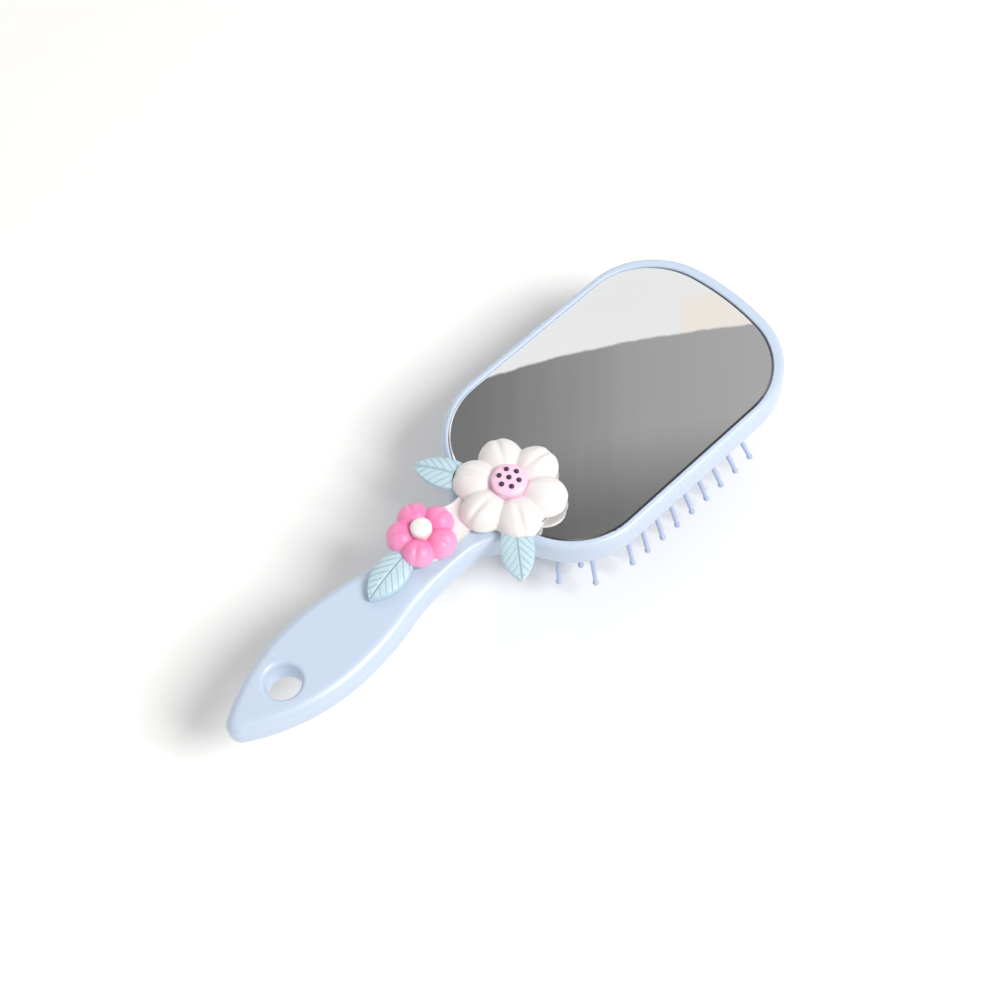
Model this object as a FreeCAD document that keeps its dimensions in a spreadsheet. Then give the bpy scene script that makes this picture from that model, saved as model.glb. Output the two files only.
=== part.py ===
"""Cushion styling brush with a mirror back, as a parametric model in millimetres.

X runs along the brush from the handle's tip to the far end of the head, Y across it, Z up.
The mirror faces up and the pins point down. Z = 0 is the lowest pin tip, and the origin lies
under the middle of the brush.
"""
import FreeCAD, Part
import math
import os

import Sketcher
from FreeCAD import Placement, Rotation, Vector

SIZES = (
    # Plan of the moulded frame
    ("handle_length", 94.4, "handle tip to near end of head"),
    ("head_length", 106.5, "near end arc to far end arc of the head, on the axis"),
    ("head_width", 68.8, "width of the head"),
    ("corner_radius", 25.4, "corners of the head"),
    ("far_end_radius", 79.0, "arc across the far end of the head"),
    ("near_end_radius", 57.4, "arc across the near end of the head"),
    ("neck_width", 14.6, "narrowest width of the neck"),
    ("neck_from_head", 14.0, "near end of head back to the narrowest place of the neck"),
    ("grip_width", 26.4, "widest place of the handle"),
    ("grip_from_tip", 35.0, "handle tip to the widest place of the handle"),
    ("shoulder_share", 0.49, "convex share of the S curve from the widest place to the neck"),
    ("tip_radius", 4.0, "rounding of the handle tip in plan"),
    # Section of the frame
    ("head_thickness", 10.0, "frame underside to top of rim"),
    ("grip_edge_radius", 3.8, "rounded edges of the handle"),
    ("rim_edge_radius", 1.8, "rounded outer edges of the head"),
    ("rim_width", 2.4, "rim beside the mirror"),
    ("far_rim_extra", 1.4, "rim wider at the far end by this much"),
    ("rim_inner_radius", 0.5, "rounded edge of the rim towards the mirror"),
    ("hole_radius", 5.0, "hanging hole"),
    ("hole_from_tip", 19.5, "handle tip to centre of the hanging hole"),
    ("hole_edge_radius", 1.8, "rounded edges of the hanging hole"),
    # Mirror and its seat
    ("mirror_below_rim", 0.3, "top of mirror below top of rim"),
    ("mirror_thickness", 1.8, "mirror plate"),
    ("mirror_clearance", 0.15, "gap around the mirror plate"),
    ("bevel_width", 0.5, "bevel around the mirror, across"),
    ("bevel_depth", 0.2, "bevel around the mirror, down"),
    ("mirror_tape_thickness", 0.4, "adhesive sheet under the mirror"),
    ("mirror_tape_margin", 1.5, "edge of adhesive sheet inside the mirror's edge"),
    ("web_thickness", 1.6, "floor between mirror and air chamber"),
    # Cushion, retaining ring and their seat
    ("seat_inset", 2.6, "wall of the cushion's seat inside the head outline"),
    ("seat_clearance", 0.15, "gap around the cushion flange and ring"),
    ("ring_width", 1.7, "retaining ring, across"),
    ("ring_thickness", 0.9, "retaining ring, down"),
    ("flange_thickness", 1.2, "flange of the cushion"),
    ("ledge_width", 1.4, "ledge that the flange lies against"),
    ("cushion_wall", 1.4, "rubber wall of the cushion"),
    ("cushion_gap", 0.2, "gap between the cushion's side and the ring"),
    ("crown_height", 8.2, "crown of the cushion below its flange"),
    ("crown_drop", 6.35, "fall of the crown from its middle to its sides and ends"),
    # Pins
    ("pin_length", 16.6, "pin standing out of the rubber"),
    ("pin_root_radius", 0.92, "pin shank at the rubber"),
    ("pin_tip_radius", 0.64, "pin shank at the ball"),
    ("ball_radius", 0.95, "ball at the pin's end"),
    ("pin_head_radius", 1.8, "disc behind the rubber"),
    ("pin_head_thickness", 0.8, "disc behind the rubber, along the pin"),
    ("pin_head_gap", 0.3, "disc to the rubber's inner face"),
    ("pin_hole_clearance", 0.08, "rubber around the pin shank"),
    ("pin_fan_across", 57.0, "height at which pin axes meet, seen along the brush"),
    ("pin_fan_along", 145.0, "height at which pin axes meet, seen across the brush"),
    ("side_row_inset", 7.4, "side rows and their corner pins inside the head outline"),
    ("side_row_near_gap", 2.8, "side row's first pin from the near end of the straight side"),
    ("side_row_far_gap", 4.3, "side row's last pin from the far end of the straight side"),
    ("corner_pin_bearing", 61.0, "near corner pins on their corner's arc, in degrees from the axis"),
    ("row_end_inset", 8.0, "last pin of an inner row inside the head outline"),
    # Flower ornament on the neck
    ("ornament_tape_thickness", 0.4, "adhesive pad under the ornament"),
    ("ornament_tape_length", 22.0, "adhesive pad, along"),
    ("ornament_tape_width", 6.0, "adhesive pad, across"),
    ("backing_thickness", 1.3, "flat backing of the ornament"),
    ("daisy_along", 9.0, "near end of the head to the daisy's middle"),
    ("daisy_across", -2.0, "daisy's middle from the axis"),
    ("daisy_radius", 17.0, "reach of the daisy's petals"),
    ("daisy_petal_width", 13.4, "widest place of a daisy petal"),
    ("daisy_height", 5.8, "daisy petals above the backing"),
    ("daisy_button_radius", 5.2, "button in the daisy's middle"),
    ("daisy_backing_radius", 13.0, "backing under the daisy"),
    ("blossom_along", -18.5, "near end of the head to the blossom's middle"),
    ("blossom_across", 5.0, "blossom's middle from the axis"),
    ("blossom_radius", 10.5, "reach of the blossom's petals"),
    ("blossom_petal_width", 9.8, "widest place of a blossom petal"),
    ("blossom_height", 4.8, "blossom petals above the backing"),
    ("blossom_button_radius", 3.1, "button in the blossom's middle"),
    ("blossom_backing_radius", 8.4, "backing under the blossom"),
    ("waist_radius", 10.0, "hollow sides of the backing between the flowers"),
    ("hub_margin", 0.75, "hub of the petals past their button"),
    ("socket_floor", 1.4, "petal material under a button"),
    ("socket_clearance", 0.1, "gap around a button"),
    ("button_rise", 1.5, "button above the petals"),
    ("seed_radius", 0.75, "seeds on the daisy's button"),
    ("seed_circle", 2.9, "circle that the seeds stand on"),
    ("leaf_length", 20.0, "leaf, tip to tip"),
    ("leaf_width", 9.6, "leaf, widest place"),
    ("leaf_height", 3.2, "leaf, top above its flat back"),
    ("leaf_edge", 1.4, "leaf's dome past its outline"),
    ("leaf_tuck", 4.0, "leaf under its flower's backing"),
)
DAISY_PETALS = 6
BLOSSOM_PETALS = 5
SEEDS = 6
SIDE_ROW_PINS = 9
INNER_ROW_PINS = {0: 11, 1: 12, 2: 11}
# Flower that each leaf grows from, and its bearing in degrees round that flower
LEAVES = {
    "leaf_left": ("daisy", 118.0),
    "leaf_right": ("daisy", -128.0),
    "leaf_tip": ("blossom", 190.0),
}
# Flat that is left between two roundings, and the shares of the wall beside the hanging hole
# that the rounding of the handle's edge and of the hole's edge may take
ROUNDING_GAP = 0.2
EDGE_SHARE = 0.67
HOLE_EDGE_SHARE = 0.32
TOLERANCE = 1e-4

doc = FreeCAD.newDocument("StylingBrush")
sheet = doc.addObject("Spreadsheet::Sheet", "Sizes")
for row_number, (alias, number, note) in enumerate(SIZES, start=1):
    sheet.set(f"A{row_number}", note)
    sheet.set(f"B{row_number}", str(number))
    sheet.setAlias(f"B{row_number}", alias)
doc.recompute()

FLANGE_BOTTOM = "(Sizes.pin_length + Sizes.crown_height)"
FRAME_BOTTOM = f"({FLANGE_BOTTOM} - Sizes.ring_thickness)"
LEDGE = f"({FLANGE_BOTTOM} + Sizes.flange_thickness)"
RIM_TOP = f"({FRAME_BOTTOM} + Sizes.head_thickness)"
MIRROR_BOTTOM = f"({RIM_TOP} - Sizes.mirror_below_rim - Sizes.mirror_thickness)"
RECESS_FLOOR = f"({MIRROR_BOTTOM} - Sizes.mirror_tape_thickness)"
CHAMBER_ROOF = f"({RECESS_FLOOR} - Sizes.web_thickness)"
BACKING_BOTTOM = f"({RIM_TOP} + Sizes.ornament_tape_thickness)"
BACKING_TOP = f"({BACKING_BOTTOM} + Sizes.backing_thickness)"

HEAD_END = "((Sizes.handle_length + Sizes.head_length) / 2)"
HANDLE_TIP = f"(-{HEAD_END})"
NEAR_END = f"({HEAD_END} - Sizes.head_length)"
HEAD_MIDDLE = f"({HEAD_END} - Sizes.head_length / 2)"
FAR_ARC_X = f"({HEAD_END} - Sizes.far_end_radius)"
NEAR_ARC_X = f"({NEAR_END} + Sizes.near_end_radius)"
CORNER_Y = "(Sizes.head_width / 2 - Sizes.corner_radius)"
NEAR_CORNER_X = (
    f"({NEAR_ARC_X} - sqrt((Sizes.near_end_radius - Sizes.corner_radius) ^ 2 - {CORNER_Y} ^ 2))"
)
FAR_CORNER_X = (
    f"({FAR_ARC_X} + sqrt((Sizes.far_end_radius - Sizes.corner_radius) ^ 2 - {CORNER_Y} ^ 2))"
)

NECK_FROM_TIP = "(Sizes.handle_length - Sizes.neck_from_head)"
GRIP_TO_NECK = f"({NECK_FROM_TIP} - Sizes.grip_from_tip)"
NECK_DROP = "((Sizes.grip_width - Sizes.neck_width) / 2)"
S_CURVE_RADII = f"(({GRIP_TO_NECK} ^ 2 + {NECK_DROP} ^ 2) / (2 * {NECK_DROP}))"
SHOULDER_RADIUS = f"(Sizes.shoulder_share * {S_CURVE_RADII})"
FLANK_LENGTH = "(Sizes.grip_from_tip - Sizes.tip_radius)"
FLANK_RADIUS = (
    f"(({FLANK_LENGTH} ^ 2 + (Sizes.grip_width / 2) ^ 2 - Sizes.tip_radius ^ 2)"
    " / (Sizes.grip_width - 2 * Sizes.tip_radius))"
)
HOLE_TO_GRIP = "(Sizes.grip_from_tip - Sizes.hole_from_tip)"
HOLE_WALL = (
    f"(Sizes.grip_width / 2 - {FLANK_RADIUS} + sqrt({FLANK_RADIUS} ^ 2 - {HOLE_TO_GRIP} ^ 2)"
    " - Sizes.hole_radius)"
)
GRIP_EDGE_RADIUS = (
    f"min(Sizes.grip_edge_radius; Sizes.tip_radius - {ROUNDING_GAP};"
    f" Sizes.head_thickness / 2 - {ROUNDING_GAP}; {EDGE_SHARE} * {HOLE_WALL})"
)
HOLE_EDGE_RADIUS = f"min(Sizes.hole_edge_radius; {HOLE_EDGE_SHARE} * {HOLE_WALL})"

FAR_RIM_EXTRA = "Sizes.far_rim_extra"
FLANGE_INSET = "(Sizes.seat_inset + Sizes.seat_clearance)"
RING_INNER_INSET = f"({FLANGE_INSET} + Sizes.ring_width)"
CUSHION_SIDE_INSET = f"({RING_INNER_INSET} + Sizes.cushion_gap)"


def crown_radius(extent):
    """Radius of the crown that falls by its drop from the middle to a side of the cushion."""
    half = f"(Sizes.{extent} / 2 - {CUSHION_SIDE_INSET})"
    return f"(({half} ^ 2 + Sizes.crown_drop ^ 2) / (2 * Sizes.crown_drop))"


CROWN_ACROSS = crown_radius("head_width")
CROWN_ALONG = crown_radius("head_length")


def value(expression):
    """Number that an expression of sheet sizes stands for."""
    return float(sheet.evalExpression(expression))


def size(alias):
    """Number in the sheet's cell of that name."""
    return value(f"Sizes.{alias}")


def bind(thing, **expressions):
    """Tie properties of an object to expressions of sheet sizes."""
    for name, expression in expressions.items():
        thing.setExpression(name.replace("__", "."), expression)


def new_body(label):
    """Empty body whose label names its file."""
    body = doc.addObject("PartDesign::Body", f"Body_{label}")
    body.Label = label
    return body


def plane_of(body, role):
    """One of a body's own origin planes or axes."""
    return next(feature for feature in body.Origin.OriginFeatures if feature.Role == role)


def new_sketch(name, level, body=None):
    """Level sketch at a height, in a body or free standing."""
    if body is None:
        sketch = doc.addObject("Sketcher::SketchObject", name)
        bind(sketch, Placement__Base__z=level)
        return sketch
    sketch = body.newObject("Sketcher::SketchObject", name)
    sketch.AttachmentSupport = [(plane_of(body, "XY_Plane"), "")]
    sketch.MapMode = "FlatFace"
    bind(sketch, AttachmentOffset__Base__z=level)
    return sketch


def constrain(sketch, kind, *places, expression=None):
    """Add one constraint, tied to an expression where it has a size."""
    if expression is None:
        sketch.addConstraint(Sketcher.Constraint(kind, *places))
        return
    index = sketch.addConstraint(Sketcher.Constraint(kind, *places, value(expression)))
    sketch.setExpression(f"Constraints[{index}]", expression)


def arc(centre, radius, start, end):
    """Arc counter-clockwise between two angles in radians."""
    circle = Part.Circle(Vector(centre[0], centre[1], 0), Vector(0, 0, 1), radius)
    return Part.ArcOfCircle(circle, start, end)


def line(start, end):
    """Straight line in a sketch."""
    return Part.LineSegment(Vector(start[0], start[1], 0), Vector(end[0], end[1], 0))


ORIGIN = (-1, 1)
X_AXIS, Y_AXIS = -1, -2
START, END, CENTRE = 1, 2, 3


def head_sketch(name, level, inset, body=None, setback="0"):
    """The head's outline, offset inwards, and set back from the far end by a further distance."""
    sketch = new_sketch(name, level, body)
    offset = value(inset)
    half_width = size("head_width") / 2 - offset
    corner_radius = size("corner_radius") - offset
    corner_y = value(CORNER_Y)
    far_x, near_x = value(FAR_ARC_X) - value(setback), value(NEAR_ARC_X)
    far_corner_x, near_corner_x = value(FAR_CORNER_X) - value(setback), value(NEAR_CORNER_X)
    far_turn = math.atan2(corner_y, far_corner_x - far_x)
    near_turn = math.atan2(corner_y, near_x - near_corner_x)
    quarter = math.pi / 2
    left, far_left, far, far_right, right, near_right, near, near_left = sketch.addGeometry([
        line((near_corner_x, half_width), (far_corner_x, half_width)),
        arc((far_corner_x, corner_y), corner_radius, far_turn, quarter),
        arc((far_x, 0), size("far_end_radius") - offset, -far_turn, far_turn),
        arc((far_corner_x, -corner_y), corner_radius, -quarter, -far_turn),
        line((far_corner_x, -half_width), (near_corner_x, -half_width)),
        arc((near_corner_x, -corner_y), corner_radius, math.pi + near_turn, 3 * quarter),
        arc((near_x, 0), size("near_end_radius") - offset, math.pi - near_turn, math.pi + near_turn),
        arc((near_corner_x, corner_y), corner_radius, quarter, math.pi - near_turn),
    ])
    joins = (
        (left, END, far_left, END), (far_left, START, far, END), (far, START, far_right, END),
        (far_right, START, right, START), (right, END, near_right, END),
        (near_right, START, near, END), (near, START, near_left, END),
        (near_left, START, left, START),
    )
    for join in joins:
        constrain(sketch, "Tangent", *join)
    for side in (left, right):
        constrain(sketch, "Horizontal", side)
    for corner in (far_left, far_right, near_right, near_left):
        constrain(sketch, "Radius", corner, expression=f"Sizes.corner_radius - {inset}")
    for end_arc, radius, x in (
        (far, "Sizes.far_end_radius", f"{FAR_ARC_X} - {setback}"),
        (near, "Sizes.near_end_radius", NEAR_ARC_X),
    ):
        constrain(sketch, "Radius", end_arc, expression=f"{radius} - {inset}")
        constrain(sketch, "PointOnObject", end_arc, CENTRE, X_AXIS)
        constrain(sketch, "DistanceX", *ORIGIN, end_arc, CENTRE, expression=x)
    half_width_cell = f"Sizes.head_width / 2 - {inset}"
    constrain(sketch, "DistanceY", *ORIGIN, left, START, expression=half_width_cell)
    constrain(sketch, "DistanceY", right, START, *ORIGIN, expression=half_width_cell)
    return sketch


def brush_sketch(name, level):
    """Outline of handle, neck and head as one chain of tangent arcs."""
    sketch = new_sketch(name, level)
    tip, grip = size("tip_radius"), size("grip_width") / 2
    neck, shoulder, flank = size("neck_width") / 2, value(SHOULDER_RADIUS), value(FLANK_RADIUS)
    half_width, corner = size("head_width") / 2, size("corner_radius")
    tip_x = value(HANDLE_TIP) + tip
    grip_x = value(HANDLE_TIP) + size("grip_from_tip")
    neck_x = value(NEAR_END) - size("neck_from_head")
    corner_x, corner_y = value(NEAR_CORNER_X), value(CORNER_Y)
    far_corner_x, far_x = value(FAR_CORNER_X), value(FAR_ARC_X)
    # The radii of waist and flare follow from the tangency with both neighbours.
    waist = value(S_CURVE_RADII) - shoulder
    rise = corner_y - neck
    flare = ((corner_x - neck_x) ** 2 + rise ** 2 - corner ** 2) / (2 * (corner + rise))
    tip_turn = math.atan2(flank - grip, grip_x - tip_x)
    bend = math.asin((neck_x - grip_x) / (shoulder + waist))
    flare_turn = math.atan2(corner_y - neck - flare, corner_x - neck_x)
    far_turn = math.atan2(corner_y, far_corner_x - far_x)
    up = math.pi / 2
    halves = []
    for side in (1, -1):
        def turned(centre, radius, start, end):
            """Arc on this side of the axis, given as it lies on the +Y side."""
            if side < 0:
                start, end = -end, -start
            return arc((centre[0], side * centre[1]), radius, start, end)

        halves.append(sketch.addGeometry([
            turned((grip_x, grip - flank), flank, up, math.pi - tip_turn),
            turned((grip_x, grip - shoulder), shoulder, up - bend, up),
            turned((neck_x, neck + waist), waist, 3 * up - bend, 3 * up),
            turned((neck_x, neck + flare), flare, 3 * up, 4 * up + flare_turn),
            turned((corner_x, corner_y), corner, up, math.pi + flare_turn),
            line((corner_x, side * half_width), (far_corner_x, side * half_width)),
            turned((far_corner_x, corner_y), corner, far_turn, up),
        ]))
    tip_arc, far_arc = sketch.addGeometry([
        arc((tip_x, 0), tip, math.pi - tip_turn, math.pi + tip_turn),
        arc((far_x, 0), size("far_end_radius"), -far_turn, far_turn),
    ])
    for half, first, last in zip(halves, (START, END), (END, START)):
        flank_arc, shoulder_arc, waist_arc, flare_arc, near_arc, side_line, corner_arc = half
        joins = (
            (tip_arc, first, flank_arc, last), (flank_arc, first, shoulder_arc, last),
            (shoulder_arc, first, waist_arc, first), (waist_arc, last, flare_arc, first),
            (flare_arc, last, near_arc, last), (near_arc, first, side_line, START),
            (side_line, END, corner_arc, last), (corner_arc, first, far_arc, last),
        )
        for join in joins:
            constrain(sketch, "Tangent", *join)
        constrain(sketch, "Horizontal", side_line)
        for round_arc, radius in (
            (shoulder_arc, SHOULDER_RADIUS),
            (near_arc, "Sizes.corner_radius"),
            (corner_arc, "Sizes.corner_radius"),
        ):
            constrain(sketch, "Radius", round_arc, expression=radius)
        for joined, place, curve, x, width in (
            (flank_arc, first, shoulder_arc, "Sizes.grip_from_tip", "Sizes.grip_width"),
            (waist_arc, last, flare_arc, NECK_FROM_TIP, "Sizes.neck_width"),
        ):
            constrain(sketch, "DistanceX", joined, place, *ORIGIN, expression=f"-{HANDLE_TIP} - {x}")
            vertical = (*ORIGIN, joined, place) if half is halves[0] else (joined, place, *ORIGIN)
            constrain(sketch, "DistanceY", *vertical, expression=f"{width} / 2")
            constrain(sketch, "Vertical", joined, place, curve, CENTRE)
        constrain(sketch, "DistanceX", *ORIGIN, near_arc, CENTRE, expression=NEAR_CORNER_X)
        vertical = (*ORIGIN, side_line, START) if half is halves[0] else (side_line, START, *ORIGIN)
        constrain(sketch, "DistanceY", *vertical, expression="Sizes.head_width / 2")
    constrain(sketch, "Radius", tip_arc, expression="Sizes.tip_radius")
    constrain(sketch, "Radius", far_arc, expression="Sizes.far_end_radius")
    for end_arc in (tip_arc, far_arc):
        constrain(sketch, "PointOnObject", end_arc, CENTRE, X_AXIS)
    constrain(
        sketch, "DistanceX", tip_arc, CENTRE, *ORIGIN, expression=f"-{HANDLE_TIP} - Sizes.tip_radius"
    )
    constrain(sketch, "DistanceX", *ORIGIN, far_arc, CENTRE, expression=FAR_ARC_X)
    return sketch


def extrusion(name, sketch, length):
    """Solid straight up from a free-standing sketch."""
    solid = doc.addObject("Part::Extrusion", name)
    solid.Base = sketch
    solid.DirMode = "Custom"
    solid.Dir = Vector(0, 0, 1)
    solid.Solid = True
    bind(solid, LengthFwd=length)
    return solid


def pad(body, name, sketch, length):
    """Pad of a sketch of this body."""
    feature = body.newObject("PartDesign::Pad", name)
    feature.Profile = sketch
    bind(feature, Length=length)
    doc.recompute()
    return feature


def pocket(body, name, sketch, depth, upward=False):
    """Pocket from a sketch of this body, down or up into the solid."""
    before = body.Shape.Volume
    feature = body.newObject("PartDesign::Pocket", name)
    feature.Profile = sketch
    feature.Reversed = upward
    bind(feature, Length=depth)
    doc.recompute()
    if body.Shape.Volume >= before:
        raise RuntimeError(f"{name} cut nothing")
    return feature


def edge_radius(x):
    """Rounding of the frame's outer edge, which tapers from the neck to the head."""
    share = min(max(1 - (value(NEAR_END) - x) / size("neck_from_head"), 0), 1)
    grip_radius = value(GRIP_EDGE_RADIUS)
    return grip_radius + share * (size("rim_edge_radius") - grip_radius)


def frame_blank():
    """Handle, neck and head in one piece, with rounded edges and no recesses."""
    blank = extrusion("FrameBlank", brush_sketch("FrameOutline", FRAME_BOTTOM), "Sizes.head_thickness")
    doc.recompute()
    rounded = doc.addObject("Part::Fillet", "FrameRounded")
    rounded.Base = blank
    level_edges = []
    for index, edge in enumerate(blank.Shape.Edges, start=1):
        if edge.BoundBox.ZLength < TOLERANCE:
            radii = [edge_radius(vertex.Point.x) for vertex in edge.Vertexes]
            level_edges.append((index, radii[0], radii[-1]))
    rounded.Edges = level_edges
    doc.recompute()
    return rounded


def round_rim(body, recessed):
    """Round the top edge of the mirror recess."""
    top, floor = value(RIM_TOP), value(RECESS_FLOOR)
    walls = [
        face for face in recessed.Shape.Faces
        if abs(face.CenterOfMass.z - (top + floor) / 2) < TOLERANCE
    ]
    lips = [edge for wall in walls for edge in wall.Edges if abs(edge.CenterOfMass.z - top) < TOLERANCE]
    names = [
        f"Edge{index}"
        for index, edge in enumerate(recessed.Shape.Edges, start=1)
        if any(edge.isSame(lip) for lip in lips)
    ]
    rounded = body.newObject("PartDesign::Fillet", "RimInnerEdge")
    rounded.Base = (recessed, names)
    bind(rounded, Radius="Sizes.rim_inner_radius")
    doc.recompute()


def handle_frame():
    """Moulded frame: mirror recess above, cushion seat and air chamber below, hanging hole."""
    rounded = frame_blank()
    body = new_body("handle_frame")
    body.BaseFeature = rounded
    doc.recompute()
    recess = head_sketch("MirrorRecessOutline", RIM_TOP, "Sizes.rim_width", body, FAR_RIM_EXTRA)
    recessed = pocket(body, "MirrorRecess", recess, f"{RIM_TOP} - {RECESS_FLOOR}")
    round_rim(body, recessed)
    seat = head_sketch("CushionSeatOutline", FRAME_BOTTOM, "Sizes.seat_inset", body)
    pocket(body, "CushionSeat", seat, f"{LEDGE} - {FRAME_BOTTOM}", upward=True)
    chamber_inset = "(Sizes.seat_inset + Sizes.ledge_width)"
    chamber = head_sketch("AirChamberOutline", FRAME_BOTTOM, chamber_inset, body)
    pocket(body, "AirChamber", chamber, f"{CHAMBER_ROOF} - {FRAME_BOTTOM}", upward=True)
    hole = new_sketch("HangingHoleOutline", RIM_TOP, body)
    hole_x = value(HANDLE_TIP) + size("hole_from_tip")
    circle = hole.addGeometry(Part.Circle(Vector(hole_x, 0, 0), Vector(0, 0, 1), size("hole_radius")))
    constrain(hole, "Radius", circle, expression="Sizes.hole_radius")
    constrain(hole, "PointOnObject", circle, CENTRE, X_AXIS)
    constrain(
        hole, "DistanceX", circle, CENTRE, *ORIGIN, expression=f"-{HANDLE_TIP} - Sizes.hole_from_tip"
    )
    drilled = pocket(body, "HangingHole", hole, "Sizes.head_thickness")
    rims = [
        f"Edge{index}"
        for index, edge in enumerate(drilled.Shape.Edges, start=1)
        if isinstance(edge.Curve, Part.Circle)
        and abs(edge.Curve.Center.x - hole_x) < TOLERANCE
        and abs(edge.Curve.Radius - size("hole_radius")) < TOLERANCE
    ]
    softened = body.newObject("PartDesign::Fillet", "HangingHoleEdges")
    softened.Base = (drilled, rims)
    bind(softened, Radius=HOLE_EDGE_RADIUS)
    return body


def mirror_plate():
    """Mirror with a shallow bevel all round."""
    body = new_body("mirror_plate")
    outline = head_sketch(
        "MirrorOutline", MIRROR_BOTTOM, "(Sizes.rim_width + Sizes.mirror_clearance)", body,
        FAR_RIM_EXTRA,
    )
    plate = pad(body, "MirrorPad", outline, "Sizes.mirror_thickness")
    top = max(range(len(plate.Shape.Faces)), key=lambda i: plate.Shape.Faces[i].CenterOfMass.z)
    bevel = body.newObject("PartDesign::Chamfer", "MirrorBevel")
    bevel.Base = (plate, [f"Face{top + 1}"])
    bevel.ChamferType = "Two distances"
    bind(bevel, Size="Sizes.bevel_depth", Size2="Sizes.bevel_width")
    return body


def mirror_tape():
    """Adhesive sheet between the mirror and the recess floor."""
    body = new_body("mirror_tape")
    inset = "(Sizes.rim_width + Sizes.mirror_clearance + Sizes.mirror_tape_margin)"
    outline = head_sketch("MirrorTapeOutline", RECESS_FLOOR, inset, body, FAR_RIM_EXTRA)
    pad(body, "MirrorTapePad", outline, "Sizes.mirror_tape_thickness")
    return body


def cushion_ring():
    """Ring that holds the cushion's flange in its seat, flush with the frame's underside."""
    body = new_body("cushion_ring")
    outer = head_sketch("RingOutline", FRAME_BOTTOM, FLANGE_INSET, body)
    pad(body, "RingPad", outer, "Sizes.ring_thickness")
    inner = head_sketch("RingOpening", FLANGE_BOTTOM, RING_INNER_INSET, body)
    pocket(body, "RingPocket", inner, "Sizes.ring_thickness")
    return body


def crown_solid(name, wall):
    """Everything above the crown: its arc across the head, swung along the head's own arc."""
    profile = doc.addObject("Sketcher::SketchObject", f"{name}Profile")
    profile.Placement = Placement(Vector(), Rotation(Vector(0, 1, 0), Vector(0, 0, 1), Vector(1, 0, 0)))
    bind(profile, Placement__Base__x=HEAD_MIDDLE)
    middle_z = value(f"Sizes.pin_length + {CROWN_ACROSS}")
    radius = value(f"{CROWN_ACROSS} - {wall}")
    half, top = size("head_width") / 2, value(RIM_TOP)
    side_z = middle_z - math.sqrt(radius ** 2 - half ** 2)
    turn = math.asin(half / radius)
    down = -math.pi / 2
    crown, right, lid, left = profile.addGeometry([
        arc((0, middle_z), radius, down - turn, down + turn),
        line((half, side_z), (half, top)),
        line((half, top), (-half, top)),
        line((-half, top), (-half, side_z)),
    ])
    for join in ((crown, END, right, START), (right, END, lid, START), (lid, END, left, START),
                 (left, END, crown, START)):
        constrain(profile, "Coincident", *join)
    constrain(profile, "PointOnObject", crown, CENTRE, Y_AXIS)
    constrain(profile, "Horizontal", lid)
    for upright in (right, left):
        constrain(profile, "Vertical", upright)
    constrain(profile, "Radius", crown, expression=f"{CROWN_ACROSS} - {wall}")
    constrain(
        profile, "DistanceY", *ORIGIN, crown, CENTRE, expression=f"Sizes.pin_length + {CROWN_ACROSS}"
    )
    constrain(profile, "DistanceX", *ORIGIN, right, START, expression="Sizes.head_width / 2")
    constrain(profile, "DistanceX", left, START, *ORIGIN, expression="Sizes.head_width / 2")
    constrain(profile, "DistanceY", *ORIGIN, lid, START, expression=RIM_TOP)
    swung = doc.addObject("Part::Revolution", name)
    swung.Source = profile
    swung.Axis = Vector(0, 1, 0)
    swung.Symmetric = True
    swung.Solid = True
    lid_radius = f"({CROWN_ALONG} + Sizes.pin_length - {RIM_TOP})"
    bind(
        swung,
        Base__x=HEAD_MIDDLE,
        Base__z=f"Sizes.pin_length + {CROWN_ALONG}",
        Angle=f"2 * asin(Sizes.head_length / 2 / {lid_radius})",
    )
    return swung


def boolean(kind, name, base, tool):
    """Boolean of two objects."""
    result = doc.addObject(f"Part::{kind}", name)
    result.Base = base
    result.Tool = tool
    return result


def crown_height_at(along, across):
    """Height of the cushion's outer face, from offsets to the middle of the head."""
    crown_along, crown_across = value(CROWN_ALONG), value(CROWN_ACROSS)
    reach = crown_along - crown_across + math.sqrt(crown_across ** 2 - across ** 2)
    return size("pin_length") + crown_along - math.sqrt(reach ** 2 - along ** 2)


def row_half_length(across):
    """Distance from the middle of the head to the last pin of an inner row."""
    corner_radius = size("corner_radius") - size("row_end_inset")
    corner_y = value(CORNER_Y)
    ends = []
    for arc_x, corner_x, radius, way in (
        (FAR_ARC_X, FAR_CORNER_X, "far_end_radius", 1),
        (NEAR_ARC_X, NEAR_CORNER_X, "near_end_radius", -1),
    ):
        end_radius = size(radius) - size("row_end_inset")
        on_end_arc = value(arc_x) + way * math.sqrt(end_radius ** 2 - across ** 2)
        reach = way * (on_end_arc - value(HEAD_MIDDLE))
        above_corner = across - corner_y
        if above_corner > 0:
            on_corner = value(corner_x) + way * math.sqrt(corner_radius ** 2 - above_corner ** 2)
            reach = min(reach, way * (on_corner - value(HEAD_MIDDLE)))
        ends.append(reach)
    return min(ends)


def side_row(way):
    """Offsets of a side row, with a corner pin at its near end, on the +Y or -Y side."""
    across = size("head_width") / 2 - size("side_row_inset")
    near_x = value(NEAR_CORNER_X) - value(HEAD_MIDDLE)
    far_x = value(FAR_CORNER_X) - value(HEAD_MIDDLE)
    first, last = near_x + size("side_row_near_gap"), far_x - size("side_row_far_gap")
    pitch = (last - first) / (SIDE_ROW_PINS - 1)
    bearing = math.radians(size("corner_pin_bearing"))
    corner_reach = size("corner_radius") - size("side_row_inset")
    corner_y = way * (value(CORNER_Y) + corner_reach * math.sin(bearing))
    corner_step = corner_reach * math.cos(bearing)
    row = [(first + step * pitch, way * across) for step in range(SIDE_ROW_PINS)]
    return [(near_x - corner_step, corner_y), *row]


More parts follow.
